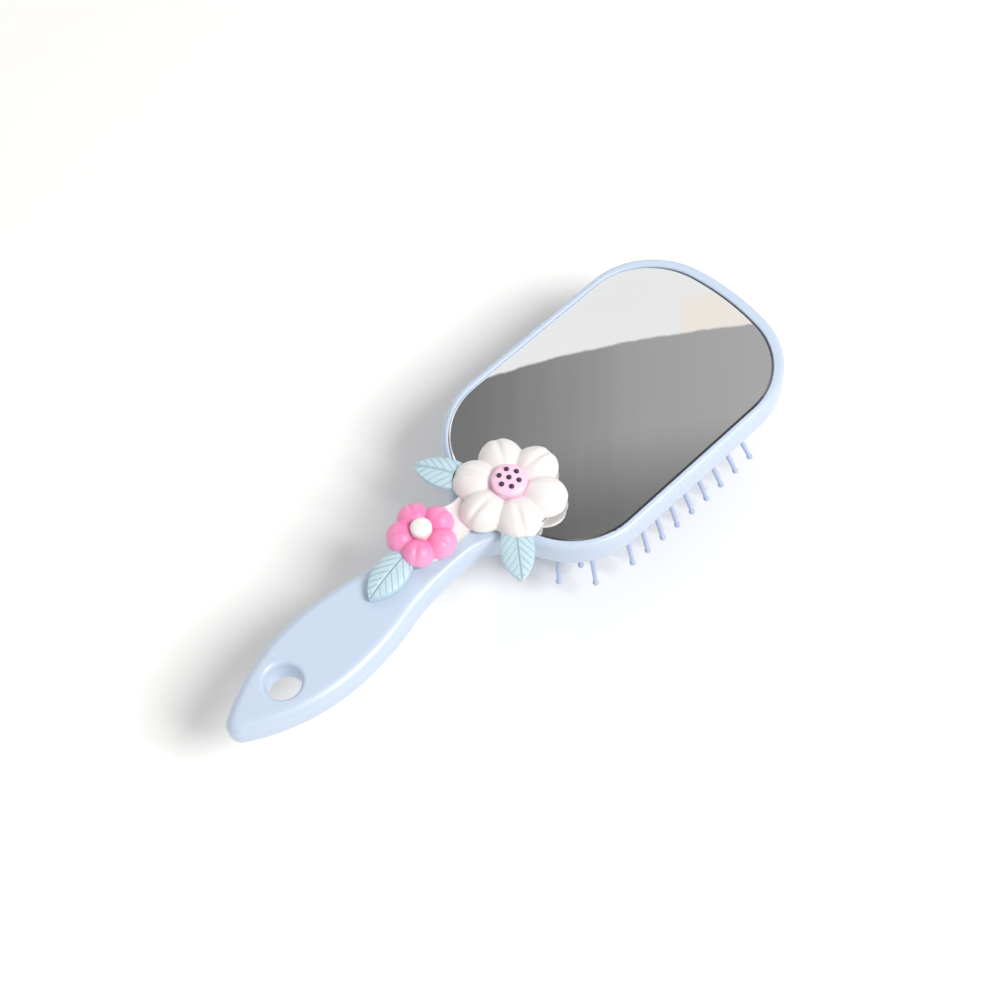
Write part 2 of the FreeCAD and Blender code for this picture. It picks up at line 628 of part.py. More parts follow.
def pin_rows():
    """Offsets of every pin from the middle of the head, row by row from -Y to +Y."""
    outer = len(INNER_ROW_PINS)
    spacing = (size("head_width") / 2 - size("side_row_inset")) / outer
    rows = [side_row(-1)]
    for place in range(1 - outer, outer):
        across = place * spacing
        half = row_half_length(abs(across))
        gaps = INNER_ROW_PINS[abs(place)] - 1
        rows.append([(half * (2 * step / gaps - 1), across) for step in range(gaps + 1)])
    return rows + [side_row(1)]


def pin_placement(along, across):
    """Where a pin leaves the rubber, and its direction, which fans out from the middle."""
    root = Vector(value(HEAD_MIDDLE) + along, across, crown_height_at(along, across))
    way = Vector(along / size("pin_fan_along"), across / size("pin_fan_across"), -1)
    return Placement(root, Rotation(Vector(0, 0, -1), way))


def pin_pattern():
    """One ball-tipped pin, pointing down, with the rubber's outer face at height 0."""
    body = new_body("pin_pattern")
    sketch = body.newObject("Sketcher::SketchObject", "PinProfile")
    sketch.AttachmentSupport = [(plane_of(body, "XZ_Plane"), "")]
    sketch.MapMode = "FlatFace"
    head_low = size("cushion_wall") + size("pin_head_gap")
    head_top = head_low + size("pin_head_thickness")
    ball, neck = size("ball_radius"), size("pin_tip_radius")
    ball_z = ball - size("pin_length")
    neck_rise = math.sqrt(ball ** 2 - neck ** 2)
    corners = [
        (0, head_top), (size("pin_head_radius"), head_top), (size("pin_head_radius"), head_low),
        (size("pin_root_radius"), head_low), (size("pin_root_radius"), 0), (neck, ball_z + neck_rise),
    ]
    edges = sketch.addGeometry(
        [line(start, end) for start, end in zip(corners, corners[1:])]
        + [arc((0, ball_z), ball, -math.pi / 2, math.atan2(neck_rise, neck)),
           line((0, ball_z - ball), corners[0])]
    )
    top, rim, under, root, shank, ball_arc, axis = edges
    for first, second in zip(edges[:5], edges[1:5]):
        constrain(sketch, "Coincident", first, END, second, START)
    constrain(sketch, "Coincident", shank, END, ball_arc, END)
    constrain(sketch, "Coincident", ball_arc, START, axis, START)
    constrain(sketch, "Coincident", axis, END, top, START)
    for level in (top, under):
        constrain(sketch, "Horizontal", level)
    for upright in (rim, root, axis):
        constrain(sketch, "Vertical", upright)
    constrain(sketch, "PointOnObject", axis, START, Y_AXIS)
    constrain(sketch, "PointOnObject", ball_arc, CENTRE, Y_AXIS)
    constrain(sketch, "PointOnObject", shank, START, X_AXIS)
    constrain(sketch, "Radius", ball_arc, expression="Sizes.ball_radius")
    for edge, place, alias in (
        (rim, START, "pin_head_radius"), (root, START, "pin_root_radius"),
        (shank, END, "pin_tip_radius"),
    ):
        constrain(sketch, "DistanceX", *ORIGIN, edge, place, expression=f"Sizes.{alias}")
    constrain(
        sketch, "DistanceY", *ORIGIN, rim, END, expression="Sizes.cushion_wall + Sizes.pin_head_gap"
    )
    constrain(sketch, "DistanceY", rim, END, rim, START, expression="Sizes.pin_head_thickness")
    constrain(sketch, "DistanceY", axis, START, *ORIGIN, expression="Sizes.pin_length")
    turned = body.newObject("PartDesign::Revolution", "PinTurned")
    turned.Profile = sketch
    turned.ReferenceAxis = (sketch, ["V_Axis"])
    turned.Angle = 360
    doc.recompute()
    return body


def pin_groups(pattern):
    """Every row of pins as one group of separate pins."""
    groups = []
    for number, row in enumerate(pin_rows(), start=1):
        group = doc.addObject("Part::Feature", f"PinRow{number}")
        group.Label = f"pin_row_{number}"
        pins = []
        for along, across in row:
            pin = pattern.Shape.copy()
            pin.Placement = pin_placement(along, across)
            pins.append(pin)
        group.Shape = Part.makeCompound(pins)
        groups.append(group)
    return groups


def rubber_cushion():
    """Crowned rubber cushion with a flange, open above, and a hole for every pin."""
    flange = extrusion(
        "CushionFlange", head_sketch("FlangeOutline", FLANGE_BOTTOM, FLANGE_INSET),
        "Sizes.flange_thickness",
    )
    side = extrusion("CushionSide", head_sketch("SideOutline", "0", CUSHION_SIDE_INSET), FLANGE_BOTTOM)
    crown = boolean("Common", "CushionCrown", side, crown_solid("CrownOuter", "0"))
    whole = boolean("Fuse", "CushionWhole", flange, crown)
    hollow_inset = f"({CUSHION_SIDE_INSET} + Sizes.cushion_wall)"
    hollow_column = extrusion("HollowColumn", head_sketch("HollowOutline", "0", hollow_inset), RIM_TOP)
    hollow = boolean(
        "Common", "CushionHollow", hollow_column, crown_solid("CrownInner", "Sizes.cushion_wall")
    )
    shell = boolean("Cut", "CushionShell", whole, hollow)
    radius = size("pin_root_radius") + size("pin_hole_clearance")
    reach = size("cushion_wall") + size("pin_head_gap")
    drills = doc.addObject("Part::Feature", "PinHoles")
    cutters = []
    for row in pin_rows():
        for along, across in row:
            cutter = Part.makeCylinder(radius, 2 * reach, Vector(0, 0, -reach))
            cutter.Placement = pin_placement(along, across)
            cutters.append(cutter)
    drills.Shape = Part.makeCompound(cutters)
    cushion = boolean("Cut", "RubberCushion", shell, drills)
    cushion.Label = "rubber_cushion"
    return cushion


def ornament_tape():
    """Adhesive pad between the neck and the ornament."""
    body = new_body("ornament_tape")
    sketch = new_sketch("OrnamentTapeOutline", RIM_TOP, body)
    radius = size("ornament_tape_width") / 2
    far_x = value(NEAR_END)
    near_x = far_x - size("ornament_tape_length") + 2 * radius
    up = math.pi / 2
    far, left, near, right = sketch.addGeometry([
        arc((far_x, 0), radius, -up, up),
        line((far_x, radius), (near_x, radius)),
        arc((near_x, 0), radius, up, 3 * up),
        line((near_x, -radius), (far_x, -radius)),
    ])
    for join in ((far, END, left, START), (left, END, near, START), (near, END, right, START),
                 (right, END, far, START)):
        constrain(sketch, "Tangent", *join)
    for end_arc in (far, near):
        constrain(sketch, "PointOnObject", end_arc, CENTRE, X_AXIS)
    constrain(sketch, "Radius", far, expression="Sizes.ornament_tape_width / 2")
    constrain(sketch, "DistanceX", far, CENTRE, *ORIGIN, expression=f"-{NEAR_END}")
    constrain(
        sketch, "DistanceX", near, CENTRE, far, CENTRE,
        expression="Sizes.ornament_tape_length - Sizes.ornament_tape_width",
    )
    pad(body, "OrnamentTapePad", sketch, "Sizes.ornament_tape_thickness")
    return body


def opposite_angle(opposite, first, second):
    """Angle of a triangle between two sides, from its three sides."""
    return math.acos((first ** 2 + second ** 2 - opposite ** 2) / (2 * first * second))


def ornament_backing():
    """Flat backing: two discs, under the daisy and the blossom, joined by a waist with hollow sides."""
    body = new_body("ornament_backing")
    sketch = new_sketch("BackingOutline", BACKING_BOTTOM, body)
    middles = [
        Vector(value(NEAR_END) + size(f"{flower}_along"), size(f"{flower}_across"), 0)
        for flower in ("daisy", "blossom")
    ]
    wide, narrow = size("daisy_backing_radius"), size("blossom_backing_radius")
    hollow = size("waist_radius")
    way = middles[1] - middles[0]
    bearing = math.atan2(way.y, way.x)
    # Turns from the line of middles to the middle of a hollow side, seen from each disc.
    wide_turn = opposite_angle(narrow + hollow, wide + hollow, way.Length)
    narrow_turn = opposite_angle(wide + hollow, narrow + hollow, way.Length)

    def hollow_middle(turn):
        """Middle of a hollow side's arc, at a turn from the line of middles."""
        reach = wide + hollow
        return middles[0] + Vector(reach * math.cos(bearing + turn), reach * math.sin(bearing + turn), 0)

    half = math.pi
    disc, left, end_disc, right = sketch.addGeometry([
        arc(middles[0], wide, bearing + wide_turn, bearing - wide_turn + 2 * half),
        arc(hollow_middle(wide_turn), hollow, bearing + wide_turn - half, bearing - narrow_turn),
        arc(middles[1], narrow, bearing - half + narrow_turn, bearing + half - narrow_turn),
        arc(hollow_middle(-wide_turn), hollow, bearing + narrow_turn, bearing + half - wide_turn),
    ])
    for join in (
        (disc, START, left, START), (left, END, end_disc, END),
        (end_disc, START, right, START), (right, END, disc, END),
    ):
        constrain(sketch, "Tangent", *join)
    constrain(sketch, "Radius", disc, expression="Sizes.daisy_backing_radius")
    constrain(sketch, "Radius", end_disc, expression="Sizes.blossom_backing_radius")
    for side in (left, right):
        constrain(sketch, "Radius", side, expression="Sizes.waist_radius")
    for place, flower in ((disc, "daisy"), (end_disc, "blossom")):
        along = f"{NEAR_END} + Sizes.{flower}_along"
        constrain(sketch, "DistanceX", *ORIGIN, place, CENTRE, expression=along)
        constrain(sketch, "DistanceY", *ORIGIN, place, CENTRE, expression=f"Sizes.{flower}_across")
    pad(body, "BackingPad", sketch, "Sizes.backing_thickness")
    return body


def flower_petals(flower, count):
    """Ring of domed petals on a hub, with a socket for the button."""
    body = new_body(f"{flower}_petals")
    half_length = f"((Sizes.{flower}_radius - Sizes.{flower}_button_radius / 2) / 2)"
    hub = body.newObject("PartDesign::AdditiveCylinder", f"{flower}_hub")
    bind(hub, Radius=f"Sizes.{flower}_button_radius + Sizes.hub_margin", Height="Sizes.socket_floor")
    petal = body.newObject("PartDesign::AdditiveEllipsoid", f"{flower}_petal")
    petal.Angle1 = 0
    bind(
        petal,
        Radius1=f"Sizes.{flower}_height",
        Radius2=half_length,
        Radius3=f"Sizes.{flower}_petal_width / 2",
        Placement__Base__x=f"Sizes.{flower}_radius - {half_length}",
    )
    doc.recompute()
    ring = body.newObject("PartDesign::PolarPattern", f"{flower}_ring")
    ring.Originals = [petal]
    ring.Axis = (plane_of(body, "Z_Axis"), [""])
    ring.Angle = 360
    ring.Occurrences = count
    body.Tip = ring
    doc.recompute()
    socket = new_sketch(f"{flower}_socket_outline", f"Sizes.{flower}_height", body)
    circle = socket.addGeometry(
        Part.Circle(Vector(), Vector(0, 0, 1), size(f"{flower}_button_radius") + size("socket_clearance"))
    )
    constrain(socket, "Coincident", circle, CENTRE, *ORIGIN)
    constrain(
        socket, "Radius", circle,
        expression=f"Sizes.{flower}_button_radius + Sizes.socket_clearance",
    )
    pocket(body, f"{flower}_socket", socket, f"Sizes.{flower}_height - Sizes.socket_floor")
    place_flower(body, flower)
    return body


def place_flower(thing, flower):
    """Put a flower's piece on the backing, over the flower's middle."""
    bind(
        thing,
        Placement__Base__x=f"{NEAR_END} + Sizes.{flower}_along",
        Placement__Base__y=f"Sizes.{flower}_across",
        Placement__Base__z=BACKING_TOP,
    )


def flower_button(flower):
    """Round button with a domed top, in the middle of a flower."""
    body = new_body(f"{flower}_button")
    stem = body.newObject("PartDesign::AdditiveCylinder", f"{flower}_stem")
    bind(
        stem,
        Radius=f"Sizes.{flower}_button_radius",
        Height=f"Sizes.{flower}_height - Sizes.socket_floor",
        Placement__Base__z="Sizes.socket_floor",
    )
    dome = body.newObject("PartDesign::AdditiveEllipsoid", f"{flower}_dome")
    dome.Angle1 = 0
    bind(
        dome,
        Radius1="Sizes.button_rise",
        Radius2=f"Sizes.{flower}_button_radius",
        Placement__Base__z=f"Sizes.{flower}_height",
    )
    place_flower(body, flower)
    doc.recompute()
    return body


def daisy_seeds(button):
    """Seeds on the daisy's button: one in the middle and a ring round it."""
    spheres = []
    places = [(0, 0)]
    for step in range(SEEDS):
        turn = 2 * math.pi * step / SEEDS
        places.append((size("seed_circle") * math.cos(turn), size("seed_circle") * math.sin(turn)))
    middle = Vector(value(NEAR_END) + size("daisy_along"), size("daisy_across"), value(BACKING_TOP))
    for x, y in places:
        flatness = 1 - (x ** 2 + y ** 2) / size("daisy_button_radius") ** 2
        z = size("daisy_height") + size("button_rise") * math.sqrt(flatness)
        spheres.append(Part.makeSphere(size("seed_radius"), middle + Vector(x, y, z)))
    whole = doc.addObject("Part::Feature", "SeedSpheres")
    whole.Shape = Part.makeCompound(spheres)
    seeds = boolean("Cut", "DaisySeeds", whole, button)
    seeds.Label = "daisy_seeds"
    return seeds


def leaves(neighbours):
    """Pointed leaves with a domed top, cut where they tuck under the flowers and the backing."""
    around = doc.addObject("Part::Compound", "LeafNeighbours")
    around.Links = neighbours
    made = []
    half_length, half_width = "(Sizes.leaf_length / 2)", "(Sizes.leaf_width / 2)"
    side_radius = f"(({half_length} ^ 2 + {half_width} ^ 2) / (2 * {half_width}))"
    for label, (flower, bearing) in LEAVES.items():
        dome = doc.addObject("Part::Ellipsoid", f"{label}_dome")
        dome.Angle1 = 0
        bind(
            dome,
            Radius1="Sizes.leaf_height",
            Radius2=f"{half_length} + Sizes.leaf_edge",
            Radius3=f"{half_width} + Sizes.leaf_edge",
        )
        sides = []
        for way in (1, -1):
            cylinder = doc.addObject("Part::Cylinder", f"{label}_side")
            bind(
                cylinder,
                Radius=side_radius,
                Height="Sizes.leaf_height",
                Placement__Base__y=f"{way} * ({side_radius} - {half_width})",
            )
            sides.append(cylinder)
        blade = doc.addObject("Part::MultiCommon", f"{label}_blade")
        blade.Shapes = [dome, *sides]
        blade.Placement = Placement(Vector(), Rotation(Vector(0, 0, 1), bearing))
        reach = f"(Sizes.{flower}_backing_radius - Sizes.leaf_tuck + {half_length})"
        bind(
            blade,
            Placement__Base__x=f"{NEAR_END} + Sizes.{flower}_along + {reach} * cos({bearing} deg)",
            Placement__Base__y=f"Sizes.{flower}_across + {reach} * sin({bearing} deg)",
            Placement__Base__z=BACKING_BOTTOM,
        )
        cut = boolean("Cut", f"{label}_cut", blade, around)
        cut.Label = label
        made.append(cut)
    return made


def main():
    """Build every piece, check the document and write one STEP file per piece."""
    pieces = [handle_frame(), mirror_plate(), mirror_tape(), cushion_ring()]
    pieces += pin_groups(pin_pattern())
    pieces += [rubber_cushion(), ornament_tape()]
    backing = ornament_backing()
    daisy, blossom = flower_petals("daisy", DAISY_PETALS), flower_petals("blossom", BLOSSOM_PETALS)
    daisy_button, blossom_button = flower_button("daisy"), flower_button("blossom")
    pieces += [backing, daisy, blossom, daisy_button, blossom_button, daisy_seeds(daisy_button)]
    pieces += leaves([backing, daisy, blossom])
    doc.recompute()
    for item in doc.Objects:
        if "Invalid" in item.State or "Error" in item.State:
            raise RuntimeError(f"{item.Label} failed: {item.State}")
    for piece in pieces:
        if piece.Shape.isNull() or not piece.Shape.isValid():
            raise RuntimeError(f"{piece.Label} has no valid shape")
    os.makedirs("parts", exist_ok=True)
    for piece in pieces:
        piece.Shape.exportStep(f"parts/{piece.Label}.step")
        box = piece.Shape.BoundBox
        print(
            f"{piece.Label}: {len(piece.Shape.Solids)} solids, {piece.Shape.Volume:.1f} mm3, "
            f"x {box.XMin:.2f} {box.XMax:.2f}, y {box.YMin:.2f} {box.YMax:.2f}, "
            f"z {box.ZMin:.2f} {box.ZMax:.2f}"
        )


main()
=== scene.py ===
"""Styling brush with a mirror back: finishes, air cushion, flower ornament and studio stage."""

import math

import bmesh
import bpy
from bpy.props import FloatProperty, FloatVectorProperty, IntProperty, PointerProperty
from bpy.types import Operator, Panel, PropertyGroup
from mathutils import Matrix, Vector


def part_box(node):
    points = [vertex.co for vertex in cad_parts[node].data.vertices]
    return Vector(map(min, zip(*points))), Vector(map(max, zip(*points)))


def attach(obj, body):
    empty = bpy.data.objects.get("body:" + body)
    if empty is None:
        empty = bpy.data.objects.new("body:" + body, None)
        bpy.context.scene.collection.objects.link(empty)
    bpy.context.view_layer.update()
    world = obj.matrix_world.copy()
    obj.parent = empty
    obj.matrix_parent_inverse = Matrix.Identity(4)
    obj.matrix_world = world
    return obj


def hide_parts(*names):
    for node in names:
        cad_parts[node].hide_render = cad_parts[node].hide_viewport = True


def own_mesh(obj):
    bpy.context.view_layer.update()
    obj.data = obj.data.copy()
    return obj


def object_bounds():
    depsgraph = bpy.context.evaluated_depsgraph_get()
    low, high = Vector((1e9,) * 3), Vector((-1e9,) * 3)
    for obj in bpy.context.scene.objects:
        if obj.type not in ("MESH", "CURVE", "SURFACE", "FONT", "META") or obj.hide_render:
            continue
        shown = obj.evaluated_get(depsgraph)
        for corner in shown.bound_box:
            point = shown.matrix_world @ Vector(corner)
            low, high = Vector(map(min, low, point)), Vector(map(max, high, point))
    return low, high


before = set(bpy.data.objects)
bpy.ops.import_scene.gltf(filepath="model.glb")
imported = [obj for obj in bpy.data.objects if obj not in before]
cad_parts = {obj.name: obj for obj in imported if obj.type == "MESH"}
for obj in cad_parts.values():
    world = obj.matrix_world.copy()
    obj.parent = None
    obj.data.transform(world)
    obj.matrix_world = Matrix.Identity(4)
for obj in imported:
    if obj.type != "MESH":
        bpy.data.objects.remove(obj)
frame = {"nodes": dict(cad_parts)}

bl_info = {
    "name": "Styling Brush",
    "version": (1, 0, 0),
    "blender": (4, 5, 0),
    "location": "View3D > Sidebar > Brush",
    "description": "Finishes, air cushion, flower ornament and stage of a styling brush",
    "category": "Object",
}

CAD_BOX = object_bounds()
FRAME_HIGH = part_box("handle_frame")[1]
CUSHION_LOW, CUSHION_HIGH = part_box("rubber_cushion")
PIN_ROWS = sorted(name for name in frame["nodes"] if name.startswith("pin_row_"))
# Flower that each leaf grows from, and its bearing in degrees round that flower
LEAF_BEARINGS = {
    "leaf_left": ("daisy", 118.0),
    "leaf_right": ("daisy", -128.0),
    "leaf_tip": ("blossom", 190.0),
}
PETAL_COUNTS = {"daisy": 6, "blossom": 5}
# Pins of the inner rows, by their place beside the middle row
INNER_ROW_PINS = {0: 11, 1: 12, 2: 11}
SIDE_ROW_PINS = 9
# Loops round the cushion's edge, and rings on its inner face
EDGE_STEPS, INNER_RINGS = 4, 12
# Steps that close in on the outline, and the distance at which points count as one
HALVINGS, TOUCHING = 50, 1e-6

# One petal, as half of a ball with radius 1: its facets, the crease along it, the notch in its end
PETAL_STEPS, PETAL_RINGS = 48, 32
CREASE_START, CREASE_RISE, CREASE_WIDTH, CREASE_DEPTH = -0.7, 1.2, 0.13, 0.17
NOTCH_WIDTH, NOTCH_DEPTH = 0.22, 0.055
# Facets of the petals' hub and of the button's socket, and how the ring of petals is made one
HUB_STEPS, SOCKET_STEPS = 48, 96
PETAL_VOXEL, SOFTENING, SOFTENING_ROUNDS = 0.00024, 0.5, 8

# Middle of a noise, and the part of it that the colour drift takes
NOISE_MIDDLE, DRIFT_FROM, DRIFT_GAIN = 0.5, 0.3, 2.5
# Half widths of a leaf's midrib and side veins, and the slant and strength of the side veins
RIB_HALF, VEIN_HALF, VEIN_SLANT, VEIN_SHARE = 0.0005, 0.0003, 1.1, 0.6
# Mask of the faces that look up
UPWARD_GAIN, UPWARD_OFFSET = 4.0, -1.4
# Roughness of clear glass, and where and how much the film on it adds to that
CLEAR_GLASS, FILM_FROM, FILM_DULL = 0.002, 0.45, 0.03
# Way that the bevel sides with painted shade face, and how sharply the painted shade begins
PAINTED_SHADE_SIDE, PAINTED_SHADE_GAIN = (0.75, -0.66, 0.0), 6.0

# Directions in the room, and a value past every share along them
ROOM_UP = (0.0920, -0.0895, 0.9917)
ROOM_RIGHT = (0.682, -0.731, 0.0)
ROOM_FAR = (0.42, 0.91, 0.0)
FULL = 2.0
# Edge of the ceiling: share upwards, softness and waviness
CEILING_FROM, CEILING_SOFT, CEILING_WAVE = 0.8165, 0.0008, 0.0014
# Streaks of the ceiling, and how its tones go from side to side
STREAKS_RIGHT, STREAKS_UP, STREAK_SHARE, SIDE_GAIN = 110.0, 14.0, 0.16, 5.0
KEY_PLACE, KEY_TARGET, KEY_SIDE = (0.462, -1.417, 1.71), (0, 0, 0.02), 0.91
FLOOR_STEPS = 8


def srgb(red, green, blue):
    """Colour from eight-bit display values, as linear values with full alpha."""
    shares = [channel / 255 for channel in (red, green, blue)]
    linear = [s / 12.92 if s <= 0.04045 else ((s + 0.055) / 1.055) ** 2.4 for s in shares]
    return (*linear, 1.0)


def length(name, description, default):
    """Length, in metres."""
    return FloatProperty(
        name=name, description=description, default=default, min=0.0,
        subtype="DISTANCE", unit="LENGTH", precision=5,
    )


def colour(name, description, default):
    """Colour of a finish."""
    return FloatVectorProperty(
        name=name, description=description, default=default,
        size=4, min=0.0, max=1.0, subtype="COLOR",
    )


def count(name, description, default, least):
    """Number of steps or rings of a mesh."""
    return IntProperty(name=name, description=description, default=default, min=least)


def power(name, description, default):
    """Power of a light, in watts."""
    return FloatProperty(name=name, description=description, default=default, min=0.0, unit="POWER")


def angle(name, description, degrees):
    """Angle, given in degrees and kept in radians."""
    return FloatProperty(
        name=name, description=description, default=math.radians(degrees),
        subtype="ANGLE", unit="ROTATION",
    )


class BrushSizes(PropertyGroup):
    """Sizes that the new shapes and the leaves' veins follow."""

    head_length: length("Head length", "Near end to far end of the head, on the axis", 0.1065)
    corner_radius: length("Corner radius", "Corners of the head", 0.0254)
    far_end_radius: length("Far end radius", "Arc across the far end of the head", 0.079)
    near_end_radius: length("Near end radius", "Arc across the near end of the head", 0.0574)
    flange_inset: length("Flange inset", "Edge of the cushion's flange inside the head", 0.00275)
    flange_thickness: length("Flange thickness", "Flange of the cushion", 0.0012)
    crown_inset: length("Crown inset", "Side of the cushion's crown inside the head", 0.00465)
    crown_drop: length("Crown drop", "Fall of the crown from its middle to its sides", 0.00635)
    cushion_wall: length("Cushion wall", "Rubber wall of the cushion", 0.0014)
    crown_edge: length("Crown edge", "Rounding between the crown and its side", 0.0011)
    side_row_inset: length("Side row inset", "Side rows and corner pins inside the head", 0.0074)
    side_row_near_gap: length("Side row near gap", "First pin from the side's near end", 0.0028)
    side_row_far_gap: length("Side row far gap", "Last pin from the side's far end", 0.0043)
    corner_pin_bearing: angle("Corner pin bearing", "Near corner pins on their corner's arc", 61.0)
    row_end_inset: length("Row end inset", "Last pin of an inner row inside the head", 0.008)
    pin_fan_across: length("Pin fan across", "Height where pins meet, seen along the brush", 0.057)
    pin_fan_along: length("Pin fan along", "Height where pins meet, seen across the brush", 0.145)
    collar_bore: length("Collar bore", "Radius of the rubber around a pin", 0.001)
    collar_radius: length("Collar radius", "Radius of the raised rubber collar", 0.0019)
    collar_height: length("Collar height", "Collar above the crown", 0.00045)
    daisy_petal_width: length("Daisy petal width", "Widest place of a daisy petal", 0.0134)
    blossom_petal_width: length("Blossom petal width", "Widest place of a blossom petal", 0.0098)
    hub_margin: length("Hub margin", "Hub of the petals past their button", 0.00075)
    socket_clearance: length("Socket clearance", "Gap around a flower's button", 0.0001)
    leaf_length: length("Leaf length", "Leaf, tip to tip", 0.02)
    leaf_tuck: length("Leaf tuck", "Leaf under its flower's backing", 0.004)
    daisy_backing: length("Daisy backing", "Radius of the backing under the daisy", 0.013)
    blossom_backing: length("Blossom backing", "Radius of the backing under the blossom", 0.0084)
    collar_steps: count("Collar steps", "Facets round a rubber collar", 12, 6)
    crown_steps: count("Crown steps", "Facets round the cushion", 144, 24)
    crown_rings: count("Crown rings", "Rings from edge to middle", 24, 4)


class BrushColours(PropertyGroup):
    """Colours of the finishes."""

    frame: colour("Frame", "Pale blue moulded plastic", srgb(194, 208, 227))
    # The pins' colour is the frame's blue made darker, as painted shade from the head above them
    pins: colour("Pins", "Blue plastic of the pins", srgb(174, 188, 216))
    ring: colour("Ring", "Plastic of the retaining ring", srgb(186, 206, 238))
    rubber: colour("Rubber", "Soft rubber of the cushion", srgb(176, 196, 230))
    mirror: colour("Mirror", "Silvering of the mirror", (0.92, 0.925, 0.93, 1.0))
    tape: colour("Tape", "Foam of the adhesive tape", srgb(236, 234, 226))
    white: colour("White", "White soft plastic", srgb(240, 236, 233))
    petal_heart: colour("Petal heart", "White petals near their button", srgb(232, 226, 224))
    pale_pink: colour("Pale pink", "Pale pink soft plastic", srgb(252, 206, 232))
    pink: colour("Pink", "Bright pink soft plastic", srgb(246, 118, 176))
    pink_edge: colour("Pink edge", "Lighter pink at the petal ends", srgb(250, 168, 208))
    aqua: colour("Aqua", "Pale aqua soft plastic", srgb(190, 216, 226))
    black: colour("Black", "Black soft plastic", srgb(38, 35, 42))
    floor: colour("Floor", "Pale studio floor", (0.945, 0.933, 0.916, 1.0))


class StudioSettings(PropertyGroup):
    """Camera and light of the stage."""

    elevation: angle("Elevation", "Camera above the horizon", 59.978)
    heading: angle("Heading", "Camera's turn about the vertical", 40.248)
    roll: angle("Roll", "Camera's turn about its own axis", 4.553)
    distance: length("Distance", "Camera to the point it looks at", 0.4972)
    target: FloatVectorProperty(
        name="Target", description="Point that the camera looks at",
        default=(-0.0006, -0.0015, 0.0339), subtype="TRANSLATION", unit="LENGTH", precision=5,
    )
    lens: FloatProperty(
        name="Lens", description="Focal length in millimetres on a 36 mm sensor",
        default=63.0, min=1.0,
    )
    floor_side: length("Floor side", "Half of the floor's side", 3.0)
    key_power: power("Key power", "Soft light to the right of the camera", 41.0)
    room_light: FloatProperty(
        name="Room light", description="Strength of the room around the stage",
        default=1.05, min=0.0,
    )


def settings():
    """The three groups of settings."""
    scene = bpy.context.scene
    return scene.brush_sizes, scene.brush_colours, scene.brush_studio


class HeadPlan:
    """Plan of the head: two end arcs and two straight sides, joined by corner arcs."""

    def __init__(self, sizes):
        self.corner = sizes.corner_radius
        self.half_width = FRAME_HIGH.y
        self.middle = FRAME_HIGH.x - sizes.head_length / 2
        self.corner_y = self.half_width - self.corner
        far_arc = FRAME_HIGH.x - sizes.far_end_radius
        near_arc = FRAME_HIGH.x - sizes.head_length + sizes.near_end_radius
        far_core = sizes.far_end_radius - self.corner
        near_core = sizes.near_end_radius - self.corner
        self.far_x = far_arc + math.sqrt(far_core ** 2 - self.corner_y ** 2)
        self.near_x = near_arc - math.sqrt(near_core ** 2 - self.corner_y ** 2)
        self.ends = ((far_arc, far_core, self.far_x, 1), (near_arc, near_core, self.near_x, -1))

    def inset_of(self, x, y):
        """How far a point lies inside the outline."""
        side = abs(y)
        for arc_x, core, corner_x, way in self.ends:
            if way * (x - corner_x) > 0:
                on_end = side * abs(corner_x - arc_x) <= self.corner_y * abs(x - arc_x)
                if on_end:
                    return core + self.corner - math.hypot(x - arc_x, side)
                return self.corner - math.hypot(x - corner_x, side - self.corner_y)
        return self.half_width - side

    def reach(self, start, way, inset):
        """Distance from start, along way, to the line that lies inset inside the outline."""
        # Four half widths lead out of the head from anywhere in it
        low, high = 0.0, 4 * self.half_width
        for _ in range(HALVINGS):
            half = (low + high) / 2
            inside = self.inset_of(start[0] + way[0] * half, start[1] + way[1] * half) > inset
            low, high = (half, high) if inside else (low, half)
        return low


def crown_height(sizes, along, across):
    """Height of the crown's outer face, from offsets to the middle of the head."""
    radii = []
    for half in (sizes.head_length / 2, FRAME_HIGH.y):
        span = half - sizes.crown_inset
        radii.append((span ** 2 + sizes.crown_drop ** 2) / (2 * sizes.crown_drop))
    round_along, round_across = radii
    swing = round_along - round_across + math.sqrt(round_across ** 2 - across ** 2)
    return CUSHION_LOW.z + round_along - math.sqrt(swing ** 2 - along ** 2)


def pin_places(sizes):
    """Place of every pin on the crown, as offsets from the middle of the head."""
    plan = HeadPlan(sizes)
    side = plan.half_width - sizes.side_row_inset
    first = plan.near_x - plan.middle + sizes.side_row_near_gap
    last = plan.far_x - plan.middle - sizes.side_row_far_gap
    reach = plan.corner - sizes.side_row_inset
    bearing = sizes.corner_pin_bearing
    corner_y = plan.corner_y + reach * math.sin(bearing)
    step_x = reach * math.cos(bearing)
    places = []
    for way in (-1, 1):
        pitch = (last - first) / (SIDE_ROW_PINS - 1)
        places += [(first + step * pitch, way * side) for step in range(SIDE_ROW_PINS)]
        places.append((plan.near_x - plan.middle - step_x, way * corner_y))
    rows = len(INNER_ROW_PINS)
    for place in range(1 - rows, rows):
        across = place * side / rows
        start = (plan.middle, across)
        half = min(plan.reach(start, (way, 0), sizes.row_end_inset) for way in (-1, 1))
        gaps = INNER_ROW_PINS[abs(place)] - 1
        places += [(half * (2 * step / gaps - 1), across) for step in range(gaps + 1)]
    return places


def everything(bm):
    """Vertices, edges and faces of a mesh under work."""
    return bm.verts[:] + bm.edges[:] + bm.faces[:]


def make_object(name, bm):
    """New object at the origin from a finished mesh, shaded smooth."""
    mesh = bpy.data.meshes.new(name)
    bm.to_mesh(mesh)
    bm.free()
    piece = bpy.data.objects.new(name, mesh)
    bpy.context.scene.collection.objects.link(piece)
    mesh.shade_smooth()
    return piece


